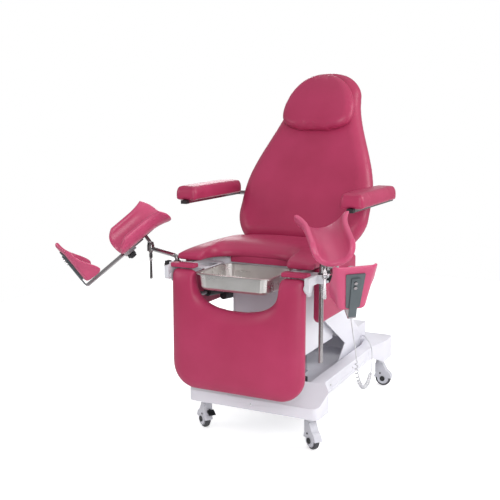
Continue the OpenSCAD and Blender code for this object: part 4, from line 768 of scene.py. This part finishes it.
# Moulded covers and coated tubes with the rounded edges that their making leaves
for name, width, segments in (("base_cover", 6, 3), ("tower_cover", 3, 3), ("column_cover", 3, 3),
                              ("seat_frame", 1.5, 2), ("control_box", 2, 2), ("handset", 2.5, 2)):
    soften(name, width, segments)


# Floor
def lit_where_seen(material, strength):
    """Adds a little light where the camera sees the surface, so that it meets the backdrop."""
    tree = material.node_tree
    output = next(item for item in tree.nodes if item.type == "OUTPUT_MATERIAL")
    painted = output.inputs["Surface"].links[0].from_socket
    watched = add(tree, "ShaderNodeLightPath").outputs["Is Camera Ray"]
    unlit = add(tree, "ShaderNodeEmission", values={"Strength": 0.0}).outputs["Emission"]
    glow = add(tree, "ShaderNodeEmission", values={"Strength": strength}).outputs["Emission"]
    chosen = add(tree, "ShaderNodeMixShader", links={"Fac": watched})
    tree.links.new(unlit, chosen.inputs[1])
    tree.links.new(glow, chosen.inputs[2])
    both = add(tree, "ShaderNodeAddShader")
    tree.links.new(painted, both.inputs[0])
    tree.links.new(chosen.outputs["Shader"], both.inputs[1])
    tree.links.new(both.outputs["Shader"], output.inputs["Surface"])


bpy.ops.object.select_all(action="DESELECT")
bpy.ops.mesh.primitive_plane_add(size=5.4, location=(0, 0.6, 0))
floor = bpy.context.active_object
floor.name = "studio_floor"
settle(floor)
floor.data.materials.append(studio_floor)
lit_where_seen(studio_floor, 0.5)

# Soft studio surroundings: bright above, dimmer at the horizon so that metal has contrast.
# Only the empty backdrop behind the object is plain white.
world = bpy.data.worlds.new("studio")
bpy.context.scene.world = world
world.use_nodes = True
sky = world.node_tree
sky.nodes.clear()
height = add(sky, "ShaderNodeSeparateXYZ",
             links={"Vector": add(sky, "ShaderNodeTexCoord").outputs["Generated"]})
ramp = add(sky, "ShaderNodeMapRange", values={"From Min": -0.15, "From Max": 0.75,
                                              "To Min": 0.36, "To Max": 0.52},
           links={"Value": height.outputs["Z"]})
around = add(sky, "ShaderNodeBackground", links={"Strength": ramp.outputs["Result"]})
behind = add(sky, "ShaderNodeBackground", values={"Strength": 1.0, "Color": (1, 1, 1, 1)})
seen = add(sky, "ShaderNodeLightPath").outputs["Is Camera Ray"]
mixed = add(sky, "ShaderNodeMixShader", links={"Fac": seen})
sky.links.new(around.outputs["Background"], mixed.inputs[1])
sky.links.new(behind.outputs["Background"], mixed.inputs[2])
around.inputs["Color"].default_value = (1, 1, 1, 1)
add(sky, "ShaderNodeOutputWorld", links={"Surface": mixed.outputs["Shader"]})
bpy.context.scene.view_settings.view_transform = "Standard"


def softbox(name, place, target, size, power):
    data = bpy.data.lights.new(name, "AREA")
    data.shape = "RECTANGLE"
    data.size, data.size_y = size
    data.energy = power
    light = bpy.data.objects.new(name, data)
    light.location = place
    light.rotation_euler = (Vector(target) - Vector(place)).to_track_quat("-Z", "Y").to_euler()
    bpy.context.collection.objects.link(light)


softbox("key_softbox", (1.9, -3.0, 2.0), (0, -0.2, 0.7), (1.8, 1.8), 58)
softbox("fill_softbox", (-2.6, -2.2, 1.8), (0, -0.2, 0.7), (1.4, 1.4), 22)
softbox("side_softbox", (2.6, 0.9, 2.1), (0, 0, 0.8), (0.9, 2.0), 52)
softbox("top_softbox", (0.2, 0.2, 3.4), (0, 0, 0.6), (2.2, 2.2), 10)
softbox("low_softbox", (2.0, -2.3, 0.5), (0.05, 0.1, 0.35), (0.9, 0.6), 7)
softbox("rear_softbox", (-1.6, 3.0, 2.0), (0, 0.2, 0.6), (1.6, 1.6), 30)
